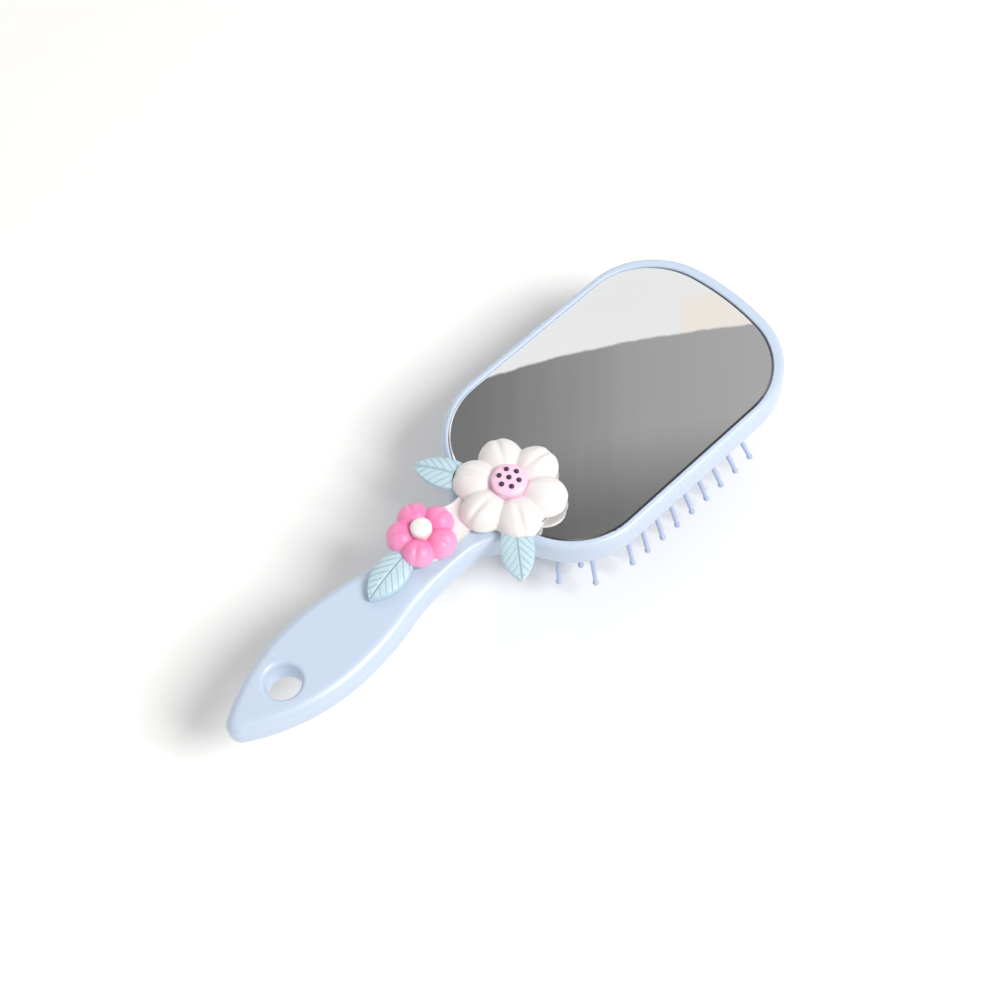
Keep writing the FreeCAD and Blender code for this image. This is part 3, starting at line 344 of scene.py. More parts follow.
def set_modifiers(piece):
    """Make the result of a piece's modifiers its own mesh."""
    graph = bpy.context.evaluated_depsgraph_get()
    mesh = bpy.data.meshes.new_from_object(piece.evaluated_get(graph))
    rough = piece.data
    piece.modifiers.clear()
    piece.data = mesh
    bpy.data.meshes.remove(rough)
    mesh.name = piece.name
    mesh.shade_smooth()


def collar_mesh(sizes):
    """Raised ring of rubber round one pin, on its axis, with the crown at height 0."""
    bore, outer, rise = sizes.collar_bore, sizes.collar_radius, sizes.collar_height
    # Radius and height of each corner, from the bore over the top to the outside
    profile = (
        (bore, 0.5 * rise), (bore, -0.7 * rise), (0.5 * (bore + outer), -rise),
        (0.8 * outer + 0.2 * bore, -0.75 * rise), (outer, 0.5 * rise),
    )
    bm = bmesh.new()
    corners = [bm.verts.new((radius, 0, height)) for radius, height in profile]
    sides = [bm.edges.new((corners[i - 1], corners[i])) for i in range(len(corners))]
    bmesh.ops.spin(
        bm, geom=corners + sides, cent=(0, 0, 0), axis=(0, 0, 1), dvec=(0, 0, 0),
        angle=2 * math.pi, steps=sizes.collar_steps, use_merge=True,
    )
    bmesh.ops.remove_doubles(bm, verts=bm.verts, dist=TOUCHING)
    bmesh.ops.recalc_face_normals(bm, faces=bm.faces)
    mesh = bpy.data.meshes.new("collar")
    bm.to_mesh(mesh)
    bm.free()
    return mesh


def crown_disc(sizes, plan):
    """Outer face of the crown as a disc of rings, from its edge rounding to the middle."""
    bm = bmesh.new()
    bmesh.ops.create_circle(bm, cap_ends=True, segments=sizes.crown_steps, radius=1.0)
    middle, ring = bm.faces[:], 1 / sizes.crown_rings
    for _ in range(sizes.crown_rings - 1):
        bmesh.ops.inset_region(bm, faces=middle, thickness=ring, use_even_offset=True)
        middle = [max(bm.faces, key=lambda face: len(face.verts))]
    bmesh.ops.poke(bm, faces=middle)
    for vert in bm.verts:
        share = min(vert.co.xy.length, 1.0)
        way = vert.co.xy.normalized() if share > TOUCHING else Vector((1, 0))
        reach = plan.reach((plan.middle, 0), way, sizes.crown_inset + sizes.crown_edge) * share
        along, across = way.x * reach, way.y * reach
        vert.co = (plan.middle + along, across, crown_height(sizes, along, across))
    return bm


def cushion_loops(sizes):
    """Loops from the crown's edge round the flange to the inner face.

    Each has its inset, its share of the reach, what its height counts from, and its height.
    """
    flange_z = CUSHION_HIGH.z - sizes.flange_thickness
    turns = [math.pi / 2 * step / EDGE_STEPS for step in range(EDGE_STEPS + 1)]
    loops = []
    for last, turn in zip(turns, turns[1:]):
        rise = sizes.crown_edge * (math.cos(last) - math.cos(turn))
        inset = sizes.crown_inset + sizes.crown_edge * (1 - math.sin(turn))
        loops.append((inset, 1.0, "rise", rise))
    inner = sizes.crown_inset + sizes.cushion_wall
    loops += [
        (sizes.crown_inset, 1.0, "level", flange_z), (sizes.flange_inset, 1.0, "level", flange_z),
        (sizes.flange_inset, 1.0, "level", CUSHION_HIGH.z), (inner, 1.0, "level", CUSHION_HIGH.z),
    ]
    shares = [1 - step / INNER_RINGS for step in range(INNER_RINGS)]
    loops += [(inner, share, "crown", sizes.cushion_wall) for share in shares]
    return loops


def cushion_mesh(sizes):
    """Closed rubber cushion: a crowned wall with its flange, and a collar round every pin."""
    plan = HeadPlan(sizes)
    bm = crown_disc(sizes, plan)
    edge = [e for e in bm.edges if e.is_boundary]
    for inset, share, kind, height in cushion_loops(sizes):
        made = bmesh.ops.extrude_edge_only(bm, edges=edge)["geom"]
        for vert in [g for g in made if isinstance(g, bmesh.types.BMVert)]:
            way = (vert.co.xy - Vector((plan.middle, 0))).normalized()
            reach = plan.reach((plan.middle, 0), way, inset) * share
            along, across = way.x * reach, way.y * reach
            starts = {"rise": vert.co.z, "level": 0.0, "crown": crown_height(sizes, along, across)}
            vert.co = (plan.middle + along, across, starts[kind] + height)
        edge = [g for g in made if isinstance(g, bmesh.types.BMEdge) and g.is_boundary]
    lid = bmesh.ops.edgeloop_fill(bm, edges=edge)["faces"]
    bmesh.ops.poke(bm, faces=lid)
    bmesh.ops.recalc_face_normals(bm, faces=bm.faces)
    collar = collar_mesh(sizes)
    for along, across in pin_places(sizes):
        before = len(bm.verts)
        bm.from_mesh(collar)
        bm.verts.ensure_lookup_table()
        way = Vector((along / sizes.pin_fan_along, across / sizes.pin_fan_across, -1))
        turn = Vector((0, 0, -1)).rotation_difference(way).to_matrix().to_4x4()
        root = Vector((plan.middle + along, across, crown_height(sizes, along, across)))
        bmesh.ops.transform(bm, matrix=Matrix.Translation(root) @ turn, verts=bm.verts[before:])
    bpy.data.meshes.remove(collar)
    # Extruding leaves the faces in another order at every run
    bm.verts.index_update()
    total = len(bm.verts)
    bm.faces.sort(key=lambda face: face.verts[0].index * total + face.verts[1].index)
    return bm


def flower_middle(flower):
    """Middle of a flower on its backing."""
    low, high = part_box(f"{flower}_button")
    return Vector(((low.x + high.x) / 2, (low.y + high.y) / 2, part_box(f"{flower}_petals")[0].z))


def button_radius(flower):
    """Radius of a flower's button."""
    low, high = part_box(f"{flower}_button")
    return (high.x - low.x) / 2


def petal_ring(flower, width, hub_radius):
    """Ring of puffed petals, each with a crease along it and a notch in its end, on a hub."""
    low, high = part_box(f"{flower}_petals")
    middle = flower_middle(flower)
    petals = PETAL_COUNTS[flower]
    reach, height = high.x - middle.x, high.z - low.z
    half_length = (reach - button_radius(flower) / 2) / 2
    bm = bmesh.new()
    bmesh.ops.create_uvsphere(bm, u_segments=PETAL_STEPS, v_segments=PETAL_RINGS, radius=1.0)
    bmesh.ops.bisect_plane(
        bm, geom=everything(bm), dist=TOUCHING, plane_co=(0, 0, 0), plane_no=(0, 0, 1),
        clear_inner=True,
    )
    bmesh.ops.edgeloop_fill(bm, edges=[e for e in bm.edges if e.is_boundary])
    for vert in bm.verts:
        along, across = vert.co.x, vert.co.y
        outer = min(max((along - CREASE_START) / CREASE_RISE, 0.0), 1.0)
        crease = math.exp(-(across / CREASE_WIDTH) ** 2) * outer
        notch = math.exp(-(across / NOTCH_WIDTH) ** 2) * max(along, 0.0) ** 3
        vert.co.z *= 1 - CREASE_DEPTH * crease
        vert.co.x -= NOTCH_DEPTH * notch
    bmesh.ops.scale(bm, vec=(half_length, width / 2, height), verts=bm.verts)
    bmesh.ops.translate(bm, vec=(reach - half_length, 0, 0), verts=bm.verts)
    bmesh.ops.spin(
        bm, geom=everything(bm), cent=(0, 0, 0), axis=(0, 0, 1), dvec=(0, 0, 0),
        angle=2 * math.pi * (petals - 1) / petals, steps=petals - 1, use_duplicate=True,
    )
    bmesh.ops.create_cone(
        bm, cap_ends=True, segments=HUB_STEPS, radius1=hub_radius, radius2=hub_radius,
        depth=height / 2, matrix=Matrix.Translation((0, 0, height / 4)),
    )
    bmesh.ops.recalc_face_normals(bm, faces=bm.faces)
    bmesh.ops.translate(bm, vec=middle, verts=bm.verts)
    return bm


def socket_cutter(flower, clearance):
    """Round plug that leaves the socket of a flower's button."""
    low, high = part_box(f"{flower}_button")
    middle = flower_middle(flower)
    radius = button_radius(flower) + clearance
    bm = bmesh.new()
    bmesh.ops.create_cone(
        bm, cap_ends=True, segments=SOCKET_STEPS, radius1=radius, radius2=radius,
        depth=2 * (high.z - low.z), matrix=Matrix.Translation((middle.x, middle.y, high.z)),
    )
    return make_object(f"{flower}_socket", bm)


def node_group(name, inputs, outputs):
    """New node group with named sockets; returns it with its input and output nodes."""
    tree = bpy.data.node_groups.new(name, "ShaderNodeTree")
    for label, kind, default in inputs:
        socket = tree.interface.new_socket(label, in_out="INPUT", socket_type=f"NodeSocket{kind}")
        if default is not None:
            socket.default_value = default
    for label, kind in outputs:
        tree.interface.new_socket(label, in_out="OUTPUT", socket_type=f"NodeSocket{kind}")
    return tree, tree.nodes.new("NodeGroupInput"), tree.nodes.new("NodeGroupOutput")


def feed(tree, socket, value):
    """Link another socket to an input, or set a plain value on it."""
    if isinstance(value, bpy.types.NodeSocket):
        tree.links.new(value, socket)
    else:
        socket.default_value = value


def add_node(tree, kind, **values):
    """New node, with values set on its properties, or else on its named sockets."""
    node = tree.nodes.new(f"ShaderNode{kind}")
    for name, value in values.items():
        if hasattr(node, name):
            setattr(node, name, value)
        else:
            node.inputs[name.replace("_", " ")].default_value = value
    return node


def maths(tree, operation, *values, clamp=False):
    """Math node on values or sockets; returns its result socket."""
    node = add_node(tree, "Math", operation=operation, use_clamp=clamp)
    for socket, value in zip(node.inputs, values):
        feed(tree, socket, value)
    return node.outputs[0]


def vector_maths(tree, operation, *values):
    """Vector Math node on vectors or sockets; returns its result socket."""
    node = add_node(tree, "VectorMath", operation=operation)
    for socket, value in zip(node.inputs, values):
        feed(tree, socket, value)
    return node.outputs["Value" if operation in ("DOT_PRODUCT", "LENGTH") else "Vector"]


def blend_colours(tree, share, first, second):
    """Mix of two colours by a share; returns the colour socket."""
    node = add_node(tree, "Mix", data_type="RGBA")
    for place, value in ((0, share), (6, first), (7, second)):
        feed(tree, node.inputs[place], value)
    return node.outputs[2]


def moulded_skin():
    """Node group: slow colour drift, uneven gloss and fine grain of a moulded surface."""
    tree = bpy.data.node_groups.get("Moulded Skin")
    if tree:
        return tree
    tree, given, result = node_group(
        "Moulded Skin",
        (
            ("Colour", "Color", (0.8, 0.8, 0.8, 1)), ("Drift", "Float", 0.05),
            ("Drift Scale", "Float", 40.0), ("Gloss", "Float", 0.3),
            ("Gloss Change", "Float", 0.08), ("Grain Scale", "Float", 2000.0),
        ),
        (("Colour", "Color"), ("Roughness", "Float"), ("Height", "Float")),
    )
    place = tree.nodes.new("ShaderNodeTexCoord").outputs["Object"]
    drift, grain = add_node(tree, "TexNoise", Detail=3.0), add_node(tree, "TexNoise", Detail=2.0)
    for noise, scale in ((drift, "Drift Scale"), (grain, "Grain Scale")):
        tree.links.new(place, noise.inputs["Vector"])
        tree.links.new(given.outputs[scale], noise.inputs["Scale"])
    darker = add_node(tree, "HueSaturation", Saturation=1.12, Value=0.86)
    tree.links.new(given.outputs["Colour"], darker.inputs["Color"])
    share = maths(tree, "SUBTRACT", drift.outputs["Fac"], DRIFT_FROM)
    share = maths(tree, "MULTIPLY", share, DRIFT_GAIN, clamp=True)
    share = maths(tree, "MULTIPLY", share, given.outputs["Drift"])
    tones = blend_colours(tree, share, given.outputs["Colour"], darker.outputs["Color"])
    tree.links.new(tones, result.inputs["Colour"])
    uneven = maths(tree, "SUBTRACT", drift.outputs["Fac"], NOISE_MIDDLE)
    change, gloss = given.outputs["Gloss Change"], given.outputs["Gloss"]
    tree.links.new(maths(tree, "MULTIPLY_ADD", uneven, change, gloss), result.inputs["Roughness"])
    tree.links.new(grain.outputs["Fac"], result.inputs["Height"])
    return tree


def flower_reach():
    """Node group: share of the way from a flower's middle to its petal ends."""
    tree = bpy.data.node_groups.get("Flower Reach")
    if tree:
        return tree
    tree, given, result = node_group(
        "Flower Reach",
        (("Middle", "Vector", None), ("Reach", "Float", 0.01)),
        (("Share", "Float"),),
    )
    place = tree.nodes.new("ShaderNodeTexCoord").outputs["Object"]
    offset = vector_maths(tree, "SUBTRACT", place, given.outputs["Middle"])
    level = vector_maths(tree, "LENGTH", vector_maths(tree, "MULTIPLY", offset, (1, 1, 0)))
    share = maths(tree, "DIVIDE", level, given.outputs["Reach"], clamp=True)
    tree.links.new(share, result.inputs["Share"])
    return tree


def leaf_veins():
    """Node group: mask of a leaf's midrib and of the side veins that slant from it."""
    tree = bpy.data.node_groups.get("Leaf Veins")
    if tree:
        return tree
    tree, given, result = node_group(
        "Leaf Veins",
        (("Middle", "Vector", None), ("Bearing", "Float", 0.0), ("Vein Gap", "Float", 0.0026)),
        (("Vein", "Float"),),
    )
    coordinates = tree.nodes.new("ShaderNodeTexCoord")
    offset = vector_maths(tree, "SUBTRACT", coordinates.outputs["Object"], given.outputs["Middle"])
    turn = add_node(tree, "VectorRotate", rotation_type="Z_AXIS")
    tree.links.new(offset, turn.inputs["Vector"])
    tree.links.new(maths(tree, "MULTIPLY", given.outputs["Bearing"], -1.0), turn.inputs["Angle"])
    parts = add_node(tree, "SeparateXYZ")
    tree.links.new(turn.outputs[0], parts.inputs[0])
    side = maths(tree, "ABSOLUTE", parts.outputs["Y"])
    rib = maths(tree, "SUBTRACT", 1.0, maths(tree, "DIVIDE", side, RIB_HALF), clamp=True)
    slant = maths(tree, "SUBTRACT", parts.outputs["X"], maths(tree, "MULTIPLY", side, VEIN_SLANT))
    phase = maths(tree, "PINGPONG", slant, maths(tree, "MULTIPLY", given.outputs["Vein Gap"], 0.5))
    vein = maths(tree, "SUBTRACT", 1.0, maths(tree, "DIVIDE", phase, VEIN_HALF), clamp=True)
    vein = maths(tree, "MAXIMUM", rib, maths(tree, "MULTIPLY", vein, VEIN_SHARE))
    # No veins down the leaf's edge
    facing = add_node(tree, "SeparateXYZ")
    tree.links.new(coordinates.outputs["Normal"], facing.inputs[0])
    up = facing.outputs["Z"]
    upward = maths(tree, "MULTIPLY_ADD", up, UPWARD_GAIN, UPWARD_OFFSET, clamp=True)
    tree.links.new(maths(tree, "MULTIPLY", vein, upward), result.inputs["Vein"])
    return tree


def new_material(name):
    """Empty material with a Principled shader; returns it with its tree and shader."""
    material = bpy.data.materials.new(name)
    material.use_nodes = True
    tree = material.node_tree
    return material, tree, tree.nodes["Principled BSDF"]


def place_group(tree, group, **values):
    """Node group in a material, with its own values."""
    node = tree.nodes.new("ShaderNodeGroup")
    node.node_tree = group
    for name, value in values.items():
        node.inputs[name.replace("_", " ")].default_value = value
    return node


def add_bump(tree, shader, height, strength, distance):
    """Relief of a surface from a height socket."""
    bump = add_node(tree, "Bump", Strength=strength, Distance=distance)
    tree.links.new(height, bump.inputs["Height"])
    tree.links.new(bump.outputs["Normal"], shader.inputs["Normal"])


def tinted(tint, red, green, blue):
    """Colour with each channel multiplied by its share."""
    return (tint[0] * red, tint[1] * green, tint[2] * blue, 1.0)


def plastic(name, tint, gloss, coat=0.0, drift=0.06, grain=2400.0, relief=0.03, depth=0.0002):
    """Moulded plastic or rubber with the shared skin."""
    material, tree, shader = new_material(name)
    skin = place_group(
        tree, moulded_skin(), Colour=tint, Drift=drift, Drift_Scale=45.0, Gloss=gloss,
        Gloss_Change=0.1, Grain_Scale=grain,
    )
    tree.links.new(skin.outputs["Colour"], shader.inputs["Base Color"])
    tree.links.new(skin.outputs["Roughness"], shader.inputs["Roughness"])
    shader.inputs["Coat Weight"].default_value = coat
    shader.inputs["Coat Roughness"].default_value = 0.2
    shader.inputs["IOR"].default_value = 1.58
    add_bump(tree, shader, skin.outputs["Height"], relief, depth)
    return material


def petal_plastic(name, inner, outer, flower):
    """Soft plastic of a flower's petals, another tone towards their ends."""
    material = plastic(name, inner, gloss=0.42, drift=0.08, relief=0.05)
    tree = material.node_tree
    skin = next(node for node in tree.nodes if node.type == "GROUP")
    middle = flower_middle(flower)
    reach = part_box(f"{flower}_petals")[1].x - middle.x
    share = place_group(tree, flower_reach(), Middle=middle, Reach=reach)
    eased = maths(tree, "POWER", share.outputs["Share"], 2.0)
    tree.links.new(blend_colours(tree, eased, inner, outer), skin.inputs["Colour"])
    return material


def leaf_plastic(name, tint, middle, bearing):
    """Soft plastic of one leaf, with sunken veins."""
    material = plastic(name, tint, gloss=0.42, drift=0.1, relief=0.6, depth=0.0006)
    tree = material.node_tree
    skin = next(node for node in tree.nodes if node.type == "GROUP")
    bump = next(node for node in tree.nodes if node.type == "BUMP")
    veins = place_group(tree, leaf_veins(), Middle=middle, Bearing=bearing)
    deep = tinted(tint, 0.72, 0.8, 0.84)
    tree.links.new(blend_colours(tree, veins.outputs["Vein"], tint, deep), skin.inputs["Colour"])
    tree.links.new(maths(tree, "MULTIPLY", veins.outputs["Vein"], -1.0), bump.inputs["Height"])
    return material


def mirror_glass(name, tint):
    """Silvered glass with a faint film that dulls it here and there, and painted shade on two sides
    of its bevel.
    """
    material, tree, shader = new_material(name)
    coordinates = tree.nodes.new("ShaderNodeTexCoord")
    film = add_node(tree, "TexNoise", Scale=28.0, Detail=4.0, Distortion=0.6)
    tree.links.new(coordinates.outputs["Object"], film.inputs["Vector"])
    thick = maths(tree, "SUBTRACT", film.outputs["Fac"], FILM_FROM, clamp=True)
    dull = maths(tree, "MULTIPLY", thick, FILM_DULL)
    tree.links.new(maths(tree, "ADD", dull, CLEAR_GLASS), shader.inputs["Roughness"])
    silver = blend_colours(tree, film.outputs["Fac"], tint, tinted(tint, 0.97, 0.97, 0.97))
    # Painted shade: the silver is darkened on the bevel's far and right-hand sides
    facing = vector_maths(tree, "DOT_PRODUCT", coordinates.outputs["Normal"], PAINTED_SHADE_SIDE)
    painted_shade = maths(tree, "MULTIPLY", facing, PAINTED_SHADE_GAIN, clamp=True)
    painted_shade_tone = tinted(tint, 0.27, 0.28, 0.31)
    tree.links.new(blend_colours(tree, painted_shade, silver, painted_shade_tone), shader.inputs["Base Color"])
    shader.inputs["Metallic"].default_value = 1.0
    return material


def tape_foam(name, tint):
    """Fine-celled foam of the adhesive tapes."""
    material, tree, shader = new_material(name)
    place = tree.nodes.new("ShaderNodeTexCoord").outputs["Object"]
    cells = add_node(tree, "TexVoronoi", Scale=2600.0)
    tree.links.new(place, cells.inputs["Vector"])
    tones = blend_colours(tree, cells.outputs["Distance"], tint, tinted(tint, 0.8, 0.8, 0.78))
    tree.links.new(tones, shader.inputs["Base Color"])
    shader.inputs["Roughness"].default_value = 0.75
    add_bump(tree, shader, cells.outputs["Distance"], 0.3, 0.0002)
    return material


def floor_paint(name, tint):
    """Matt paint of the studio floor, with hardly visible roller marks."""
    material, tree, shader = new_material(name)
    place = tree.nodes.new("ShaderNodeTexCoord").outputs["Object"]
    marks = add_node(tree, "TexNoise", Scale=3.0, Detail=1.0)
    tree.links.new(place, marks.inputs["Vector"])
    tones = blend_colours(tree, marks.outputs["Fac"], tint, tinted(tint, 0.985, 0.985, 0.985))
    tree.links.new(tones, shader.inputs["Base Color"])
    shader.inputs["Roughness"].default_value = 0.9
    shader.inputs["Specular IOR Level"].default_value = 0.2
    return material


def give(material, *nodes):
    """Put a finish on every slot of the named CAD nodes."""
    for name in nodes:
        mesh = frame["nodes"][name].data
        if not mesh.materials:
            mesh.materials.append(material)
        for place in range(len(mesh.materials)):
            mesh.materials[place] = material


def fit_piece(piece, material, slot, *nodes):
    """Finish a new piece, let it move with the brush and stand for its CAD nodes."""
    piece.data.materials.clear()
    piece.data.materials.append(material)
    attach(piece, "brush_body")
    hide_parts(*nodes)


class BRUSH_OT_mouldings(Operator):
    """Finish the moulded frame, the retaining ring and the pins"""

    bl_idname = "brush.mouldings"
    bl_label = "Mouldings and pins"

    def execute(self, context):
        colours = context.scene.brush_colours
        give(plastic("frame_plastic", colours.frame, gloss=0.4, coat=0.25), "handle_frame")
        give(plastic("ring_plastic", colours.ring, gloss=0.3), "cushion_ring")
        # The pins' finish carries their colour with its painted shade
        give(plastic("pin_plastic", colours.pins, gloss=0.28), *PIN_ROWS)
        return {"FINISHED"}


class BRUSH_OT_mirror(Operator):
    """Finish the mirror and the adhesive tapes"""

    bl_idname = "brush.mirror"
    bl_label = "Mirror"

    def execute(self, context):
        colours = context.scene.brush_colours
        give(mirror_glass("mirror_glass", colours.mirror), "mirror_plate")
        give(tape_foam("tape_foam", colours.tape), "mirror_tape", "ornament_tape")
        return {"FINISHED"}


class BRUSH_OT_cushion(Operator):
    """Shape the crowned rubber cushion with a collar round every pin"""

    bl_idname = "brush.cushion"
    bl_label = "Air cushion"

    def execute(self, context):
        sizes, colours, _ = settings()
        piece = make_object("air_cushion", cushion_mesh(sizes))
        rubber = plastic(
            "cushion_rubber", colours.rubber, gloss=0.5, drift=0.1, grain=1600.0, relief=0.12,
        )
        fit_piece(piece, rubber, "cushion_rubber", "rubber_cushion")
        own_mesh(piece)
        return {"FINISHED"}


class BRUSH_OT_petals(Operator):
    """Shape the puffed petals of the two flowers"""

    bl_idname = "brush.petals"
    bl_label = "Petals"

    def execute(self, context):
        sizes, colours, _ = settings()
        flowers = (
            ("daisy", sizes.daisy_petal_width, colours.petal_heart, colours.white, "white"),
            ("blossom", sizes.blossom_petal_width, colours.pink, colours.pink_edge, "pink"),
        )
        for flower, width, inner, outer, tone in flowers:
            hub = button_radius(flower) + sizes.hub_margin
            piece = make_object(f"{flower}_petal_ring", petal_ring(flower, width, hub))
            remesh = piece.modifiers.new("Moulded in one", "REMESH")
            remesh.mode = "VOXEL"
            remesh.voxel_size = PETAL_VOXEL
            soften = piece.modifiers.new("Soft creases", "SMOOTH")
            soften.factor = SOFTENING
            soften.iterations = SOFTENING_ROUNDS
            cutter = socket_cutter(flower, sizes.socket_clearance)
            socket = piece.modifiers.new("Button socket", "BOOLEAN")
            socket.object = cutter
            set_modifiers(piece)
            bpy.data.objects.remove(cutter)
            material = petal_plastic(f"petal_{tone}", inner, outer, flower)
            fit_piece(piece, material, f"ornament_{tone}", f"{flower}_petals")
        return {"FINISHED"}


class BRUSH_OT_flower_middles(Operator):
    """Finish the buttons, the seeds and the backing of the flowers"""

    bl_idname = "brush.flower_middles"
    bl_label = "Flower middles and backing"

    def execute(self, context):
        colours = context.scene.brush_colours
        give(plastic("soft_white", colours.white, gloss=0.42), "ornament_backing", "blossom_button")
        button = plastic("soft_pale_pink", colours.pale_pink, gloss=0.4, grain=1100.0, relief=0.3)
        give(button, "daisy_button")
        give(plastic("soft_black", colours.black, gloss=0.3), "daisy_seeds")
        return {"FINISHED"}


class BRUSH_OT_leaves(Operator):
    """Finish the veined leaves"""

    bl_idname = "brush.leaves"
    bl_label = "Leaves"

    def execute(self, context):
        sizes, colours, _ = settings()
        backings = {"daisy": sizes.daisy_backing, "blossom": sizes.blossom_backing}
        for node, (flower, degrees) in LEAF_BEARINGS.items():
            bearing = math.radians(degrees)
            reach = backings[flower] - sizes.leaf_tuck + sizes.leaf_length / 2
            way = Vector((math.cos(bearing), math.sin(bearing), 0))
            middle = flower_middle(flower) + reach * way
            give(leaf_plastic(f"soft_aqua_{node}", colours.aqua, middle, bearing), node)
        return {"FINISHED"}


def tone_ramp(tree, value, tones):
    """Ramp over a value from 0 to 1, through the tones at their places."""
    ramp = tree.nodes.new("ShaderNodeValToRGB")
    tree.links.new(value, ramp.inputs["Fac"])
    stops = ramp.color_ramp.elements
    for stop, (position, tone) in zip(stops, (tones[0], tones[-1])):
        stop.position, stop.color = position, tone
    for position, tone in tones[1:-1]:
        stops.new(position).color = tone
    return ramp.outputs["Color"]


def grey(level, warmth=0.0):
    """Linear grey, warmer by a share."""
    return (level, level * (1 - warmth / 2), level * (1 - warmth), 1.0)


def between(tree, value, low, high, soft):
    """Mask of the stretch between two values, with soft ends."""
    rising = maths(tree, "MULTIPLY_ADD", value, 1 / soft, 0.5 - low / soft, clamp=True)
    falling = maths(tree, "MULTIPLY_ADD", value, -1 / soft, 0.5 + high / soft, clamp=True)
    return maths(tree, "MULTIPLY", rising, falling)


def room_walls(tree, rise, aside, ahead):
    """Tones of the pale walls, from the floor up to the ceiling."""
    walls = tone_ramp(tree, rise, (
        (0.0, grey(0.42)), (0.35, grey(0.42)), (0.5, grey(0.6)),
        (0.77, grey(0.83)), (0.83, grey(0.86)),
    ))
    # Bright far wall, dim doorway, window and cream panel: stretch sideways, stretch upwards, tone
    for across, sideways, upwards, tone in (
        (ahead, (0.55, FULL, 0.2), (0.6, 0.77, 0.03), grey(2.2)),
        (aside, (0.16, FULL, 0.08), (0.24, 0.54, 0.08), grey(0.32)),
        (aside, (-0.72, -0.22, 0.04), (0.17, 0.48, 0.05), grey(1.0)),
        (aside, (0.0415, FULL, 0.003), (0.805, FULL, 0.002), grey(0.88, 0.13)),
    ):
        width, height = between(tree, across, *sideways), between(tree, rise, *upwards)
        walls = blend_colours(tree, maths(tree, "MULTIPLY", width, height), walls, tone)
    return walls


def room_ceiling(tree, rise, aside, uneven):
    """Tones of the grey ceiling, streaked, lighter to the right and darker overhead."""
    sides = maths(tree, "MULTIPLY_ADD", aside, SIDE_GAIN, 0.5, clamp=True)
    sides = maths(tree, "MULTIPLY_ADD", uneven, STREAK_SHARE, sides, clamp=True)
    across = tone_ramp(tree, sides, (
        (0.0, grey(0.165)), (0.12, grey(0.19)), (0.4, grey(0.285)),
        (0.6, grey(0.365)), (1.0, grey(0.42)),
    ))
    dusk = tone_ramp(tree, rise, (
        (0.0, grey(1.0)), (0.845, grey(1.0)), (0.866, grey(0.54)), (1.0, grey(0.6)),
    ))
    return vector_maths(tree, "MULTIPLY", across, dusk)


def room_nodes(strength):
    """Studio room: white walls with a cream panel, below a grey ceiling, which the mirror shows."""
    world = bpy.data.worlds.new("studio_room")
    bpy.context.scene.world = world
    world.use_nodes = True
    tree = world.node_tree
    sky = tree.nodes["Background"]
    way = tree.nodes.new("ShaderNodeTexCoord").outputs["Generated"]
    rise = vector_maths(tree, "DOT_PRODUCT", way, ROOM_UP)
    aside = vector_maths(tree, "DOT_PRODUCT", way, ROOM_RIGHT)
    ahead = vector_maths(tree, "DOT_PRODUCT", way, ROOM_FAR)
    spread = add_node(tree, "CombineXYZ")
    tree.links.new(maths(tree, "MULTIPLY", aside, STREAKS_RIGHT), spread.inputs["X"])
    tree.links.new(maths(tree, "MULTIPLY", rise, STREAKS_UP), spread.inputs["Y"])
    streaks = add_node(tree, "TexNoise", Scale=1.0, Detail=3.0)
    tree.links.new(spread.outputs["Vector"], streaks.inputs["Vector"])
    uneven = maths(tree, "SUBTRACT", streaks.outputs["Fac"], NOISE_MIDDLE)
    walls = room_walls(tree, rise, aside, ahead)
    ceiling = room_ceiling(tree, rise, aside, uneven)
    wavy = maths(tree, "MULTIPLY_ADD", uneven, CEILING_WAVE, rise)
    above = between(tree, wavy, CEILING_FROM, FULL, CEILING_SOFT)
    tree.links.new(blend_colours(tree, above, walls, ceiling), sky.inputs["Color"])
    sky.inputs["Strength"].default_value = strength


def soft_light(name, place, target, energy, side):
    """Square soft light that faces a target."""
    lamp = bpy.data.lights.new(name, "AREA")
    lamp.shape, lamp.size, lamp.energy = "SQUARE", side, energy
    light = bpy.data.objects.new(name, lamp)
    light.location = place
    light.rotation_euler = (Vector(target) - Vector(place)).to_track_quat("-Z", "Y").to_euler()
    bpy.context.scene.collection.objects.link(light)


def studio_camera(studio):
    """Camera on the brush, above its handle and turned a little about its own axis."""
    lift, turn, roll = studio.elevation, studio.heading, studio.roll
    right = Vector((math.cos(turn), -math.sin(turn), 0))
    level = math.cos(lift)
    back = Vector((-math.sin(turn) * level, -math.cos(turn) * level, math.sin(lift)))
    up = back.cross(right)
    side = math.cos(roll) * right - math.sin(roll) * up
    top = math.sin(roll) * right + math.cos(roll) * up
    eye = Vector(studio.target) + studio.distance * back
    camera = bpy.data.objects.new("camera", bpy.data.cameras.new("camera"))
    camera.data.sensor_width = 36.0
    camera.data.lens = studio.lens
    camera.data.clip_start = 0.01
    camera.matrix_world = Matrix.Translation(eye) @ Matrix((side, top, back)).transposed().to_4x4()
    bpy.context.scene.collection.objects.link(camera)
    bpy.context.scene.camera = camera


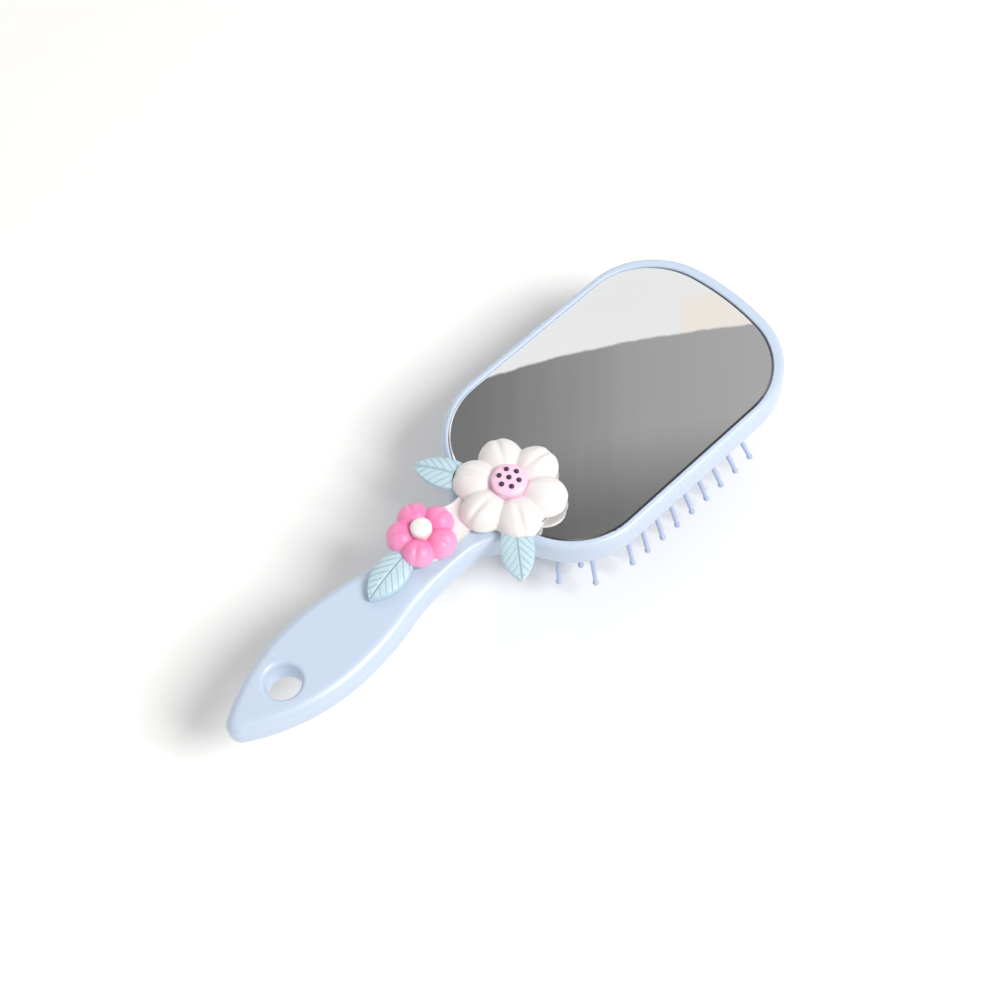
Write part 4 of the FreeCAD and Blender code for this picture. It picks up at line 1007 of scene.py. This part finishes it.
class BRUSH_OT_stage(Operator):
    """Set up the floor, the room, the soft light and the camera"""

    bl_idname = "brush.stage"
    bl_label = "Studio stage"

    def execute(self, context):
        _, colours, studio = settings()
        bm = bmesh.new()
        bmesh.ops.create_grid(
            bm, x_segments=FLOOR_STEPS, y_segments=FLOOR_STEPS, size=studio.floor_side,
        )
        bmesh.ops.translate(bm, vec=(0, 0, CAD_BOX[0].z), verts=bm.verts)
        floor = make_object("studio_floor", bm)
        floor.data.materials.append(floor_paint("floor_paint", colours.floor))
        room_nodes(studio.room_light)
        soft_light("key_light", KEY_PLACE, KEY_TARGET, studio.key_power, KEY_SIDE)
        studio_camera(studio)
        context.scene.view_settings.view_transform = "Standard"
        return {"FINISHED"}


STEPS = (
    BRUSH_OT_mouldings, BRUSH_OT_mirror, BRUSH_OT_cushion, BRUSH_OT_petals,
    BRUSH_OT_flower_middles, BRUSH_OT_leaves, BRUSH_OT_stage,
)


class VIEW3D_PT_brush(Panel):
    """Steps and settings of the brush"""

    bl_idname = "VIEW3D_PT_brush"
    bl_label = "Styling Brush"
    bl_space_type = "VIEW_3D"
    bl_region_type = "UI"
    bl_category = "Brush"

    def draw(self, context):
        for step in STEPS:
            self.layout.operator(step.bl_idname)
        for group in settings():
            box = self.layout.box()
            for name in group.__annotations__:
                box.prop(group, name)


CLASSES = (BrushSizes, BrushColours, StudioSettings, *STEPS, VIEW3D_PT_brush)


def register():
    """Register the classes and hang the settings on the scene."""
    for entry in CLASSES:
        bpy.utils.register_class(entry)
    bpy.types.Scene.brush_sizes = PointerProperty(type=BrushSizes)
    bpy.types.Scene.brush_colours = PointerProperty(type=BrushColours)
    bpy.types.Scene.brush_studio = PointerProperty(type=StudioSettings)


def unregister():
    """Take the settings and the classes away."""
    for name in ("brush_sizes", "brush_colours", "brush_studio"):
        delattr(bpy.types.Scene, name)
    for entry in reversed(CLASSES):
        bpy.utils.unregister_class(entry)


def main():
    """Dress the brush and set the stage."""
    register()
    bpy.ops.brush.mouldings()
    bpy.ops.brush.mirror()
    bpy.ops.brush.cushion()
    bpy.ops.brush.petals()
    bpy.ops.brush.flower_middles()
    bpy.ops.brush.leaves()
    bpy.ops.brush.stage()


if __name__ == "__main__":
    main()
